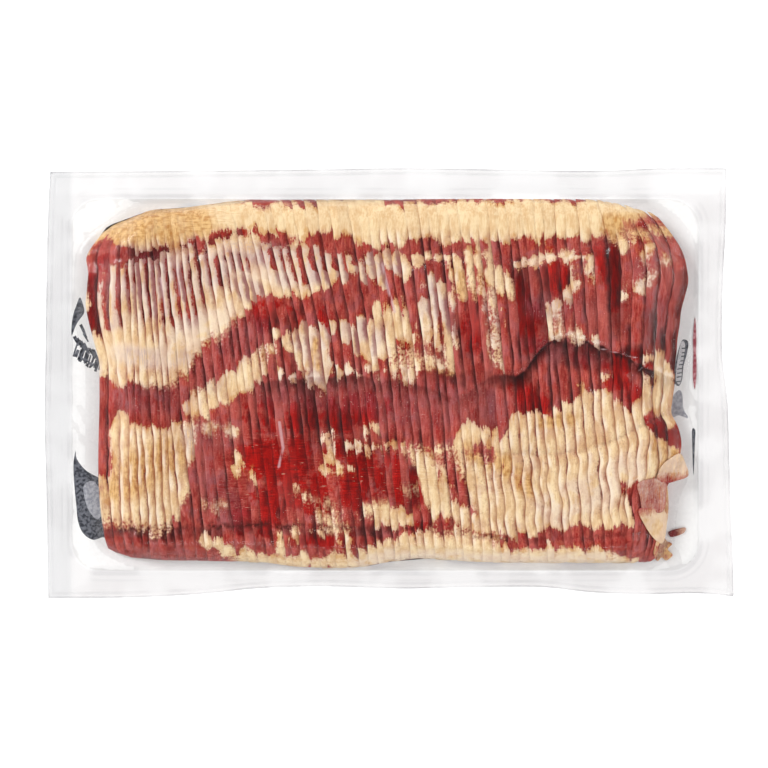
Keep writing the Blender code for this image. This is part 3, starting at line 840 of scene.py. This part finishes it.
# Loose pieces at the front right corner: name, outline, thickness, how fat turns to lean across them
# as a slope in X, a slope in Y and an offset, and what sets their finish apart
SCRAPS = (
    ("scrap_lobe",
     ((194.5, -47), (198.4, -54), (200, -62), (192, -65.4), (184, -67), (178.6, -64), (181, -56),
      (187, -50.5)),
     2.4, (0.0, 1.0, 62.5), {"bloom": 0.6, "white": 1.0}),
    ("scrap_pink",
     ((166, -66), (183.5, -64), (185, -76), (182.6, -86), (170, -86), (167, -76)),
     2.0, (0.0, 0.08, 5.4), {"bloom": 1.0, "white": 1.0}),
    ("scrap_cream",
     ((166, -84), (176, -83), (184.6, -85.6), (185.6, -96), (183, -107), (177, -104), (170, -94)),
     2.4, (0.3, -1.0, -138.0), {"white": 1.0}),
    ("scrap_strip",
     ((180.6, -70), (185.8, -68), (187, -84), (184.6, -99), (181.4, -96), (180, -83)),
     1.6, (-0.9, 0.0, 169.0), {}),
    ("scrap_brown",
     ((187.6, -99.8), (194, -97.6), (199, -97), (198, -100.4), (192, -103), (188.6, -103)),
     1.4, (1.0, 0.0, -195.5), {"bloom": 1.0, "deep": 1.0}),
    ("scrap_tan",
     ((179, -105), (184, -103), (186.5, -106), (190, -108), (187, -111.5), (190.4, -115.4), (186, -119),
      (183, -117), (180, -119.4), (177, -114)),
     1.8, (0.0, 0.0, 2.6), {"smoke": 1.0, "relief": 1.0, "flush": 0.4}),
)
# Rings of a scrap, from its edge to its middle: share of its outline and share of its thickness
SCRAP_RINGS = ((1.0, 0.35), (0.97, 0.75), (0.88, 0.95), (0.7, 1.0), (0.45, 1.0), (0.2, 1.0))
OUTLINE_STEPS = 5
SCRAP_SAG = 2.5
SCRAP_LIFT = 0.1
SCRAP_LOOKS = {"below": 4.0, "to_next": 4.0, "wet": 0.15, "smoke": 0.3, "bloom": 0.3, "relief": 0.2,
               "rim": 30.0, "step": 0.0, "fold": 0.0, "across": 0.0, "chance": 0.0, "sheen": -9.0,
               "smear": 1.0, "deep": 0.0, "flush": 0.0, "white": 0.5}


def smooth_outline(corners):
    """A closed smooth outline through a few corners."""
    corners = np.array(corners, float)
    points = []
    for number in range(len(corners)):
        before, start, end, after = (corners[(number + step) % len(corners)] for step in (-1, 0, 1, 2))
        for t in np.arange(OUTLINE_STEPS) / OUTLINE_STEPS:
            bend = (2 * start + (end - before) * t + (2 * before - 5 * start + 4 * end - after) * t ** 2
                    + (3 * start - before - 3 * end + after) * t ** 3)
            points.append(bend / 2)
    return np.array(points)


def rounded_plate(left, right, front, back, corner):
    """Outline of a rectangle with rounded corners."""
    outline = []
    for turn, x, y in ((0, right, back), (1, left, back), (2, left, front), (3, right, front)):
        middle = (x - math.copysign(corner, x), y - math.copysign(corner, y))
        for angle in np.linspace(turn, turn + 1, 7) * math.pi / 2:
            outline.append((middle[0] + corner * math.cos(angle), middle[1] + corner * math.sin(angle)))
    return np.array(outline)


def plate_points(outline, low, high):
    """Points of a flat plate: its lower outline and then its upper one."""
    return [(x, y, level) for level in (low, high) for x, y in outline]


def plate_faces(count, first=0):
    """Faces of a flat plate whose points start at a place in a list."""
    return [tuple(first + corner for corner in face[::-1]) for face in ring_faces(2, count)]


def slanting_bars(chance):
    """The rows of dark bars at the card's left end, as layers of print."""
    bars = []
    for start, end, count, height, lean_over in BAR_ROWS:
        for share in np.linspace(0, 1, count):
            centre = np.array(start) * (1 - share) + np.array(end) * share + chance.uniform(-0.6, 0.6, 2)
            tall = np.array((lean_over, height)) * chance.uniform(0.6, 1.1)
            wide = np.array((0.68, -0.36 * math.copysign(1, lean_over))) * chance.uniform(0.75, 1.3)
            slope = np.array((0.4, 0.25)) * chance.uniform(-1, 1)
            bar = np.array((centre + wide - tall, centre + wide + tall + slope, centre - wide + tall,
                            centre - wide - tall - slope))
            if bar[:, 0].min() > CARD_LEFT + 0.3:
                bars.append((bar, PRINT[0] + 0.001 * share, PRINT[1] + 0.002 * share, SLATE_INK))
    return bars


def banner_bars(chance):
    """Short dark bars down the banner's pale panel, as layers of print."""
    bars = []
    for step in np.linspace(0.06, 0.95, 9):
        centre = np.array((198.6, 25.0)) + step * np.array((-5.0, -25.0)) + chance.uniform(-0.3, 0.3, 2)
        size = (chance.uniform(1.2, 2.0), 1.0)
        bars.append((centre + np.array(BANNER_BAR) * size, *TOP_PRINT, SLATE_INK))
    return bars


def card_layers():
    """The board and the print on it: each layer's outline, lower level, upper level and finish."""
    plate = rounded_plate(CARD_LEFT, CARD_RIGHT, CARD_FRONT, CARD_BACK, CARD_CORNER)
    layers = [(plate, *BOARD, BARE_BOARD)]
    for shape in (RIBBON, WAVE, BANNER, TONGUE):
        layers.append((smooth_outline(shape), *PRINT, SLATE_INK))
    layers.append((smooth_outline(FACET), *PRINT, GREY_INK))
    layers.append((smooth_outline(LENS), *OVERPRINT, GREY_INK))
    middle = np.mean(BANNER, axis=0)
    layers.append((middle + (smooth_outline(BANNER) - middle) * PANEL_SHARE, *OVERPRINT, PALE_INK))
    chance = np.random.default_rng(9)
    return layers + slanting_bars(chance) + banner_bars(chance)


def printed_card(finishes):
    """The white card under the slices, with its plain generic print, as closed layers."""
    points, faces, finish_places = [], [], []
    for outline, low, high, finish in card_layers():
        sides = plate_faces(len(outline), len(points))
        points += plate_points(outline, low, high)
        faces += sides
        finish_places += [finish] * len(sides)
    card = new_piece("label_card", points, faces, finishes[BARE_BOARD])
    for ink in finishes[SLATE_INK:]:
        card.data.materials.append(ink)
    card.data.polygons.foreach_set("material_index", finish_places)
    return finish_piece(card)


def build_scrap(name, corners, thickness, tissue, finish, material):
    """A loose offcut draped over what lies under it: the slices, or the card beside them."""
    outline = smooth_outline(corners)
    middle = outline.mean(axis=0)
    rings = [middle + (outline - middle) * share for share, rise in SCRAP_RINGS]
    ground = [np.maximum(visible_height(*ring.T), FLOOR_OF_SLAB) for ring in rings]
    hung = np.median(np.concatenate(ground)) - SCRAP_SAG
    under = [np.column_stack((ring, np.maximum(base, hung) + SCRAP_LIFT))
             for ring, base in zip(rings, ground)]
    over = [ring + (0, 0, thickness * rise) for ring, (share, rise) in zip(under, SCRAP_RINGS)]
    points = np.concatenate(under[::-1] + over)
    looks = {label: np.full(len(points), amount) for label, amount in {**SCRAP_LOOKS, **finish}.items()}
    looks["fat"] = tissue[0] * points[:, 0] + tissue[1] * points[:, 1] + tissue[2]
    faces = [face[::-1] for face in ring_faces(2 * len(rings), len(outline))]
    return finish_piece(new_piece(name, points, faces, material, looks))


def build_juice(material):
    """A thin lens of juice caught under the film beside the slab."""
    outline = smooth_outline(JUICE_LENS)
    piece = new_piece("juice_lens", plate_points(outline, *JUICE_LEVELS), plate_faces(len(outline)), material)
    return finish_piece(piece)


# ---------------------------------------------------------------------------------------------
# Materials: small helpers that the finishes share
# ---------------------------------------------------------------------------------------------
def colour(code):
    """A linear RGBA colour from its sRGB hex value."""
    parts = [int(code[place:place + 2], 16) / 255 for place in (0, 2, 4)]
    linear = [part / 12.92 if part <= 0.04045 else ((part + 0.055) / 1.055) ** 2.4 for part in parts]
    return (*linear, 1.0)


def add(tree, kind, settings=None, **links):
    """Add a node, set its properties, and feed its inputs from values or other nodes' outputs.

    An input is named by its label, with _ for each space, or by i and its number.
    """
    node = tree.nodes.new(kind)
    for key, value in (settings or {}).items():
        setattr(node, key, value)
    for key, value in links.items():
        numbered = key[0] == "i" and key[1:].isdigit()
        socket = node.inputs[int(key[1:]) if numbered else key.replace("_", " ")]
        if isinstance(value, bpy.types.NodeSocket):
            tree.links.new(value, socket)
        else:
            socket.default_value = value
    return node


def new_material(name):
    """An empty node material and its tree."""
    material = bpy.data.materials.new(name)
    material.use_nodes = True
    material.node_tree.nodes.clear()
    return material, material.node_tree


def looks_of(tree, labels):
    """The values that a piece's points carry, by label."""
    return {label: add(tree, "ShaderNodeAttribute", {"attribute_name": label}).outputs["Fac"]
            for label in labels.split()}


def lumps(tree, size_x, size_y, detail=3.0):
    """Smooth noise from 0 to 1, with lumps of this many millimetres across and along the slices."""
    place = add(tree, "ShaderNodeTexCoord").outputs["Object"]
    scale = (1 / (size_x * MM), 1 / (size_y * MM), 1 / (size_x * MM))
    scaled = add(tree, "ShaderNodeMapping", Vector=place, Scale=scale).outputs[0]
    return add(tree, "ShaderNodeTexNoise", Vector=scaled, Scale=1.0, Detail=detail).outputs[0]


def soft_step(source, low, high):
    """0 to 1, softly, as the source goes from low to high."""
    return add(source.id_data, "ShaderNodeMapRange", {"interpolation_type": "SMOOTHSTEP"},
               Value=source, From_Min=low, From_Max=high).outputs[0]


def stretch(share, low, high, clamp=False):
    """A share from 0 to 1 as an amount from low to high."""
    return add(share.id_data, "ShaderNodeMath", {"operation": "MULTIPLY_ADD", "use_clamp": clamp},
               i0=share, i1=high - low, i2=low).outputs[0]


def joined(operation, amounts):
    """Several amounts joined by one sum; the first of them comes from a node."""
    whole = amounts[0]
    for amount in amounts[1:]:
        node = add(whole.id_data, "ShaderNodeMath", {"operation": operation}, i0=whole, i1=amount)
        whole = node.outputs[0]
    return whole


def times(*shares):
    """The product of several shares."""
    return joined("MULTIPLY", shares)


def total(*amounts):
    """The sum of several amounts."""
    return joined("ADD", amounts)


def merged(share, first, second, kind="RGBA", blend="MIX"):
    """Go from the first of two colours, or amounts, to the second by a share."""
    inputs, output = ((6, 7), 2) if kind == "RGBA" else ((2, 3), 0)
    settings = {"data_type": kind, "blend_type": blend}
    links = {f"i{inputs[0]}": first, f"i{inputs[1]}": second}
    return add(share.id_data, "ShaderNodeMix", settings, i0=share, **links).outputs[output]


def tinted(base, code, *shares):
    """Lay a colour over the base by the product of the shares."""
    return merged(times(*shares), base, colour(code))


def shaded(base, code, *shares):
    """Darken the base with a colour by the product of the shares."""
    return merged(times(*shares), base, colour(code), blend="MULTIPLY")


# ---------------------------------------------------------------------------------------------
# Materials: the pork
# ---------------------------------------------------------------------------------------------
def cured_pork():
    """Cured belly: moist lean with drawn-out fibres, waxy fat, and ragged seams between the two.

    The eye gets dark and pale strips from it, each with its own fat and lean, and a wet, broken red.
    """
    material, tree = new_material("cured_pork")
    value = looks_of(tree, "fat below to_next wet smoke bloom relief rim step fold across chance sheen smear"
                           " deep flush white")

    # patterns: blotches, flecks and grain; muscle fibres, drawn 0.9 mm thick, which is coarser than they
    # are, so that they show; and unevenness in patches 15 mm long
    blotch = lumps(tree, 9.0, 12.0)
    coarse = lumps(tree, 2.8, 3.4)
    fine = lumps(tree, 0.9, 1.2)
    along = lumps(tree, 0.9, 9.0)
    across = lumps(tree, 7.0, 0.9, 1.5)
    uneven = lumps(tree, 5.0, 15.0, 1.5)
    turned = times(value["across"], soft_step(blotch, 0.4, 0.56))
    fibre = merged(turned, along, across, "FLOAT")

    is_fat, edge = fat_share(tree, value, coarse, fine, along, uneven)
    is_lean = stretch(is_fat, 1.0, 0.0)
    dry = stretch(value["wet"], 1.0, 0.1)
    seam_of_fat = times(soft_step(lumps(tree, 8.0, 0.8, 2.0), 0.64, 0.70), value["across"],
                        soft_step(coarse, 0.50, 0.60))

    # lean: mauve where dry, deep blood red where the film lies wet on it, rust beside the fat
    lean = merged(soft_step(fibre, 0.30, 0.70), colour("a6342d"), colour("cc6355"))
    lean = tinted(lean, "9c1c15", soft_step(blotch, 0.46, 0.64), 0.55)
    lean = tinted(lean, "aa6266", soft_step(blotch, 0.47, 0.36), 0.45)
    blood = merged(soft_step(fibre, 0.25, 0.75), colour("860302"), colour("c2140a"))
    lean = merged(soft_step(total(value["wet"], stretch(coarse, -0.6, 0.6)), 0.28, 0.68), lean, blood)
    lean = tinted(lean, "b5562c", soft_step(edge, -3.4, -0.3), soft_step(coarse, 0.46, 0.6), 0.6)
    # pale pink flecks on dry lean: painted glints
    lean = tinted(lean, "cf8f80", soft_step(fine, 0.58, 0.70), soft_step(blotch, 0.42, 0.56), dry, 0.4)
    lean = tinted(lean, "5f1512", soft_step(fine, 0.44, 0.32), 0.45)
    lean = tinted(lean, "e6c2a6", seam_of_fat, 0.7)
    # painted shade: the darkest, most shaded lean over the DEEP spots
    lean = shaded(lean, "6e2c2c", value["deep"], stretch(uneven, -0.15, 1.25, clamp=True))
    lean = shaded(lean, "a86a62", soft_step(uneven, 0.50, 0.36), 0.45)

    # fat: cream, tanned where the smoke reached, whiter inside the lean, flushed pink near it
    soft_grain = total(times(fibre, 0.4), times(coarse, 0.2), times(uneven, 0.4))
    fat = merged(soft_step(soft_grain, 0.36, 0.62), colour("e0b988"), colour("f4daae"))
    fat = tinted(fat, "f2dfcb", value["white"], soft_step(blotch, 0.36, 0.5), 0.6)
    fat = tinted(fat, "cd9c80", soft_step(blotch, 0.5, 0.62), value["relief"], 0.5)
    fat = tinted(fat, "cb9a78", soft_step(uneven, 0.52, 0.38), value["relief"], 0.3)
    tanned = merged(soft_step(total(coarse, fibre), 0.75, 1.2), colour("be8443"), colour("e3b87a"))
    fat = merged(value["smoke"], fat, tanned)
    fat = tinted(fat, "b07c64", soft_step(fine, 0.56, 0.68), value["relief"], 0.5)
    fat = tinted(fat, "c07a66", soft_step(edge, 3.2, 0.2), soft_step(coarse, 0.36, 0.58), 0.6)
    fat = tinted(fat, "cf9752", soft_step(edge, 4.5, 1.5), soft_step(blotch, 0.52, 0.60), 0.6)
    fat = tinted(fat, "c3a3a6", value["flush"], soft_step(uneven, 0.34, 0.6), 0.6)
    flesh = merged(is_fat, lean, fat)

    # bloom of trapped air: a dull violet over both
    bloom = times(value["bloom"], soft_step(fibre, 0.3, 0.6))
    flesh = tinted(flesh, "b09098", bloom, is_fat, 0.6)
    flesh = tinted(flesh, "89525a", bloom, is_lean, 0.5)

    flesh = strip_shading(flesh, tree, value, is_fat, is_lean, dry, blotch, coarse, fine, uneven)
    flesh = fold_shading(flesh, value, is_fat, is_lean, blotch, coarse, uneven)

    # the film over it has the gloss, so the flesh is nearly matt
    bumps = total(times(fibre, stretch(is_fat, 0.6, 0.2)), times(fine, 0.5))
    bump = add(tree, "ShaderNodeBump", Height=bumps, Strength=0.5, Distance=0.35 * MM).outputs[0]
    shader = add(tree, "ShaderNodeBsdfPrincipled", Base_Color=flesh, Normal=bump, Roughness=0.48,
                 Specular_IOR_Level=0.15)
    add(tree, "ShaderNodeOutputMaterial", Surface=shader.outputs[0])
    return material


def fat_share(tree, value, coarse, fine, along, uneven):
    """Where the pork is fat, 0 to 1, and the ragged distance to the seam, in millimetres.

    The distance shifts by a few millimetres before it is cut, and the cut is soft where they smear.
    """
    speckle = stretch(lumps(tree, 1.7, 2.0), -13.0, 13.0)
    edge = total(value["fat"], stretch(coarse, -2.2, 2.2), stretch(fine, -1.8, 1.8),
                 stretch(along, -3.0, 3.0), stretch(uneven, -3.0, 3.0),
                 times(value["smear"], value["relief"], speckle))
    crisp = soft_step(edge, -0.8, 0.7)
    smeared = soft_step(edge, -4.5, 4.0)
    return merged(value["smear"], crisp, smeared, "FLOAT"), edge


def strip_shading(flesh, tree, value, is_fat, is_lean, dry, blotch, coarse, fine, uneven):
    """Each strip: a painted highlight along its tip, painted shade darkening toward its neighbour, and juice
    with painted shade in the gap.
    """
    # painted highlight along each strip's tip, stronger where the strips stand out
    tip = times(soft_step(value["below"], 3.0, 0.4), soft_step(uneven, 0.36, 0.62), value["relief"])
    flesh = tinted(flesh, "f8eada", tip, is_fat, 0.6)
    flesh = tinted(flesh, "c27470", tip, is_lean, dry, 0.55)

    # no two slices are quite alike
    flesh = shaded(flesh, "9c6a62", soft_step(value["chance"], 0.0, 1.0), stretch(is_fat, 0.38, 0.13))
    flesh = tinted(flesh, "b8625a", soft_step(value["chance"], -0.2, -1.0), is_lean, 0.35)
    # pale specks in the bloom: painted glints
    flesh = tinted(flesh, "e0c0b4", soft_step(fine, 0.64, 0.74), value["bloom"], 0.5)

    # painted shade on the side toward the neighbour, which reaches further where the lean is wet or deep
    deepest = joined("MAXIMUM", (value["wet"], value["deep"]))
    reach = total(stretch(deepest, 3.3, 5.5), times(is_lean, stretch(uneven, -2.6, 3.4)))
    near_next = joined("DIVIDE", (total(value["to_next"], stretch(coarse, -1.2, 1.2)), reach))
    open_seam = stretch(soft_step(lumps(tree, 7.0, 30.0, 1.0), 0.38, 0.56), 0.25, 1.0)
    shoulder = times(soft_step(near_next, 1.0, 0.05), value["relief"], stretch(open_seam, 0.5, 1.0))
    hollow_shade = times(soft_step(near_next, 1.05, 0.22), stretch(value["relief"], 0.3, 1.05, clamp=True),
                   open_seam)
    # painted shade toward the neighbour: brownish on fat, mauve where the strips are lavender, dark red on
    # lean
    flesh = shaded(flesh, "b6786a", shoulder, is_fat, 0.9)
    flesh = tinted(flesh, "8c5154", soft_step(near_next, 1.2, 0.55), is_fat, value["flush"], 0.85)
    flesh = shaded(flesh, "73292a", hollow_shade, is_lean)

    # the gap itself: dark juice with painted shade in it, and dark specks beside it that are partly painted
    # shade
    from_gap = total(value["to_next"], stretch(coarse, 2.3, -3.7))
    gap = times(soft_step(from_gap, 0.8, 0.0), value["relief"],
                stretch(value["chance"], 0.75, 1.35, clamp=True), open_seam,
                stretch(soft_step(uneven, 0.40, 0.58), 0.15, 1.0))
    flesh = merged(gap, flesh, merged(is_fat, colour("3a0403"), colour("7c3c33")))
    pit_and_shade = times(soft_step(lumps(tree, 1.4, 1.9), 0.60, 0.68), soft_step(value["to_next"], 2.6, 1.0))
    return tinted(flesh, "5a211b", pit_and_shade, value["relief"], soft_step(blotch, 0.42, 0.56), 0.8)


def fold_shading(flesh, value, is_fat, is_lean, blotch, coarse, uneven):
    """Folds: a painted highlight on the slice ends along the middle crease, a painted violet shadow below
    them, and thin lines of painted shade.
    """
    # painted highlight on the fat slice ends along the middle crease
    end_highlight = times(soft_step(value["rim"], 5.0, 0.8), soft_step(value["rim"], -0.8, 0.8), value["step"],
                     soft_step(uneven, 0.44, 0.58))
    flesh = tinted(flesh, "f0ddcc", end_highlight, is_fat, 0.7)
    # painted violet shadow below the slice ends
    shadow_under_ends = times(soft_step(value["rim"], -15.0, -1.5), soft_step(value["rim"], 0.6, -1.6),
                       value["step"], soft_step(blotch, 0.28, 0.50))
    flesh = shaded(flesh, "50242c", shadow_under_ends, stretch(is_fat, 1.0, 0.25))
    flesh = tinted(flesh, "d8b8bc", soft_step(value["sheen"], -0.5, 0.4), soft_step(uneven, 0.34, 0.5), 0.55)
    # thin lines of painted shade along the lesser folds
    flesh = tinted(flesh, "3f100c", value["fold"], is_lean, soft_step(coarse, 0.38, 0.5))
    return tinted(flesh, "8f5a44", value["fold"], is_fat, soft_step(coarse, 0.40, 0.54), 0.6)


# ---------------------------------------------------------------------------------------------
# Materials: film, card, inks and table
# ---------------------------------------------------------------------------------------------
# Thin soft lines in the film: how far in the line lies, its half width and its strength
CUT_EDGE_LINES = ((0.0, 1.3, 0.30), (3.4, 1.4, 0.07))
# the wide line 2.6 mm inside the rim is painted shade on the pocket's wall
RIM_LINES = ((-0.6, 2.4, 0.07), (2.6, 2.6, 0.06), (-5.5, 1.2, 0.03))
FILM_SHINE = 0.032


def soft_line(source, where, half, strength):
    """A thin soft line along one value of a distance."""
    past = total(source, -where)
    off = joined("MAXIMUM", (past, times(past, -1.0)))
    return times(soft_step(off, half, half * 0.3), strength)


def clear_film():
    """Nylon and polythene film, drawn down: clear and thin, with soft glints.

    It is faintly grey where two webs are sealed, milky where it hangs free, and darker along its lines; the
    wide band just inside the rim is painted shade on the pocket's wall.
    """
    material, tree = new_material("clear_film")
    value = looks_of(tree, "air bare left rim edge")
    uneven = soft_step(lumps(tree, 35.7, 35.7, 2.0), 0.38, 0.62)
    cut_lines = total(*(soft_line(value["edge"], *line) for line in CUT_EDGE_LINES))
    rim_lines_and_wall_shade = total(*(soft_line(value["rim"], *line) for line in RIM_LINES))
    lines = total(times(cut_lines, stretch(uneven, 0.3, 1.0)), times(rim_lines_and_wall_shade, uneven))
    sealed = soft_step(value["rim"], 1.6, -0.4)
    greyed = times(value["bare"], stretch(uneven, 0.7, 1.0), stretch(sealed, 0.5, 1.0))
    passed = merged(greyed, (1, 1, 1, 1), colour("f4f3f3"))
    passed = tinted(passed, "e8e9ea", value["left"], 0.3)
    passed = tinted(passed, "a2a2a6", lines)
    clear = add(tree, "ShaderNodeBsdfTransparent", Color=passed).outputs[0]
    haze = add(tree, "ShaderNodeBsdfPrincipled", Base_Color=colour("ececee"), Roughness=0.5).outputs[0]
    veil = stretch(value["air"], 0.002, 0.011)
    body = add(tree, "ShaderNodeMixShader", i0=veil, i1=clear, i2=haze).outputs[0]

    # a thin film glints softly: it shines less than a solid of its own plastic, and it is crinkled
    crinkle = lumps(tree, 5.263, 5.263, 2.0)
    normal = add(tree, "ShaderNodeBump", Height=crinkle, Strength=0.5, Distance=1.2 * MM).outputs[0]
    gloss = add(tree, "ShaderNodeBsdfGlossy", Color=(1, 1, 1, 1), Roughness=0.12, Normal=normal)
    glancing = add(tree, "ShaderNodeFresnel", IOR=1.2).outputs[0]
    shine = joined("MINIMUM", (glancing, FILM_SHINE))
    whole = add(tree, "ShaderNodeMixShader", i0=shine, i1=body, i2=gloss.outputs[0]).outputs[0]
    add(tree, "ShaderNodeOutputMaterial", Surface=whole)
    return material


def flat_finish(name, shades, roughness, glow=0.0):
    """A smooth, even finish with a faint mottle: coated board, ink printed on it, or meat juice.

    The mottle is drawn at 1.9 mm, which is coarser than a real board's, so that it shows.
    """
    material, tree = new_material(name)
    mottle = soft_step(lumps(tree, 1.923, 1.923, 2.0), 0.35, 0.65)
    tint = merged(mottle, colour(shades[0]), colour(shades[1]))
    shader = add(tree, "ShaderNodeBsdfPrincipled", Base_Color=tint, Roughness=roughness,
                 Emission_Color=(1, 1, 1, 1), Emission_Strength=glow)
    add(tree, "ShaderNodeOutputMaterial", Surface=shader.outputs[0])
    return material


def lit_table():
    """A back-lit white table, so that hardly any shadow falls round the pack."""
    material, tree = new_material("lit_table")
    shader = add(tree, "ShaderNodeBsdfPrincipled", Base_Color=(0.5, 0.5, 0.5, 1), Roughness=0.9,
                 Specular_IOR_Level=0.0, Emission_Color=(1, 1, 1, 1), Emission_Strength=0.72)
    add(tree, "ShaderNodeOutputMaterial", Surface=shader.outputs[0])
    return material


# ---------------------------------------------------------------------------------------------
# Table, light and camera
# ---------------------------------------------------------------------------------------------
TABLE_HALF, TABLE_LEVEL = 3.0, -0.0006
SKY_EDGE, SKY_TOP = 0.75, 0.95
SKY_LIGHT, SKY_DARK = 0.56, 0.05
# name, place in metres, size in metres and power in watts
SOFTBOXES = (
    ("upper_left_softbox", (-2.5, 1.8, 2.3), 1.8, 104.0),
    ("right_softbox", (2.9, 0.4, 2.5), 2.0, 46.0),
    ("front_softbox", (0.3, -3.0, 2.6), 2.0, 38.0),
)
VIEW_WIDTH = 0.5157
VIEW_MIDDLE = (-0.0034, -0.0006)


def build_stage():
    """The table that the pack lies on."""
    mesh = bpy.data.meshes.new("table")
    corners = [(x, y, TABLE_LEVEL) for x, y in ((-TABLE_HALF, -TABLE_HALF), (TABLE_HALF, -TABLE_HALF),
                                                (TABLE_HALF, TABLE_HALF), (-TABLE_HALF, TABLE_HALF))]
    mesh.from_pydata(corners, [], [(0, 1, 2, 3)])
    mesh.materials.append(lit_table())
    table = bpy.data.objects.new("table", mesh)
    bpy.context.scene.collection.objects.link(table)


def add_softbox(name, place, size, power):
    """A square soft light that faces the pack."""
    light = bpy.data.lights.new(name, "AREA")
    light.size = size
    light.energy = power
    lamp = bpy.data.objects.new(name, light)
    lamp.location = place
    direction = -lamp.location.normalized()
    lamp.rotation_euler = direction.to_track_quat("-Z", "Y").to_euler()
    bpy.context.scene.collection.objects.link(lamp)


def build_light():
    """Soft light from all round, strongest from the upper left; dark straight overhead."""
    scene = bpy.context.scene
    scene.view_settings.view_transform = "Standard"
    world = bpy.data.worlds.new("studio")
    scene.world = world
    world.use_nodes = True
    tree = world.node_tree
    way_up = add(tree, "ShaderNodeTexCoord").outputs["Generated"]
    height = add(tree, "ShaderNodeSeparateXYZ", Vector=way_up).outputs["Z"]
    strength = stretch(soft_step(height, SKY_EDGE, SKY_TOP), SKY_LIGHT, SKY_DARK)
    background = tree.nodes["Background"]
    background.inputs["Color"].default_value = (1, 1, 1, 1)
    tree.links.new(strength, background.inputs["Strength"])
    for softbox in SOFTBOXES:
        add_softbox(*softbox)


def build_camera():
    """Straight overhead, through a long lens, with the slices running up and down."""
    camera = bpy.data.cameras.new("overhead")
    camera.lens = 180.0
    camera.sensor_width = 36.0
    eye = bpy.data.objects.new("overhead", camera)
    eye.location = (*VIEW_MIDDLE, VIEW_WIDTH * camera.lens / camera.sensor_width)
    bpy.context.scene.collection.objects.link(eye)
    bpy.context.scene.camera = eye


# ---------------------------------------------------------------------------------------------
# The whole
# ---------------------------------------------------------------------------------------------
pork = cured_pork()
for number in range(SLICE_COUNT):
    build_slice(number, pork)
for scrap in SCRAPS:
    build_scrap(*scrap, pork)

# watery meat juice: a thin, pinkish lens
build_juice(flat_finish("meat_juice", ("93404a", "c58f94"), 0.3))

# white coated board with a faint painted glow that keeps it bright where the slab shades it, and slate, grey
# and pale printing inks
card_finishes = (
    flat_finish("card_board", ("f5f5f4", "fafaf9"), 0.7, glow=0.07),
    flat_finish("slate_ink", ("2c2e38", "73767f"), 0.5),
    flat_finish("grey_ink", ("9a9ca6", "c0c1c8"), 0.5),
    flat_finish("pale_ink", ("d5d5d8", "e6e6e8"), 0.5),
)
printed_card(card_finishes)

top_film = build_films(clear_film())
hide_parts(PACK_NODE)
build_stage()
build_light()
build_camera()
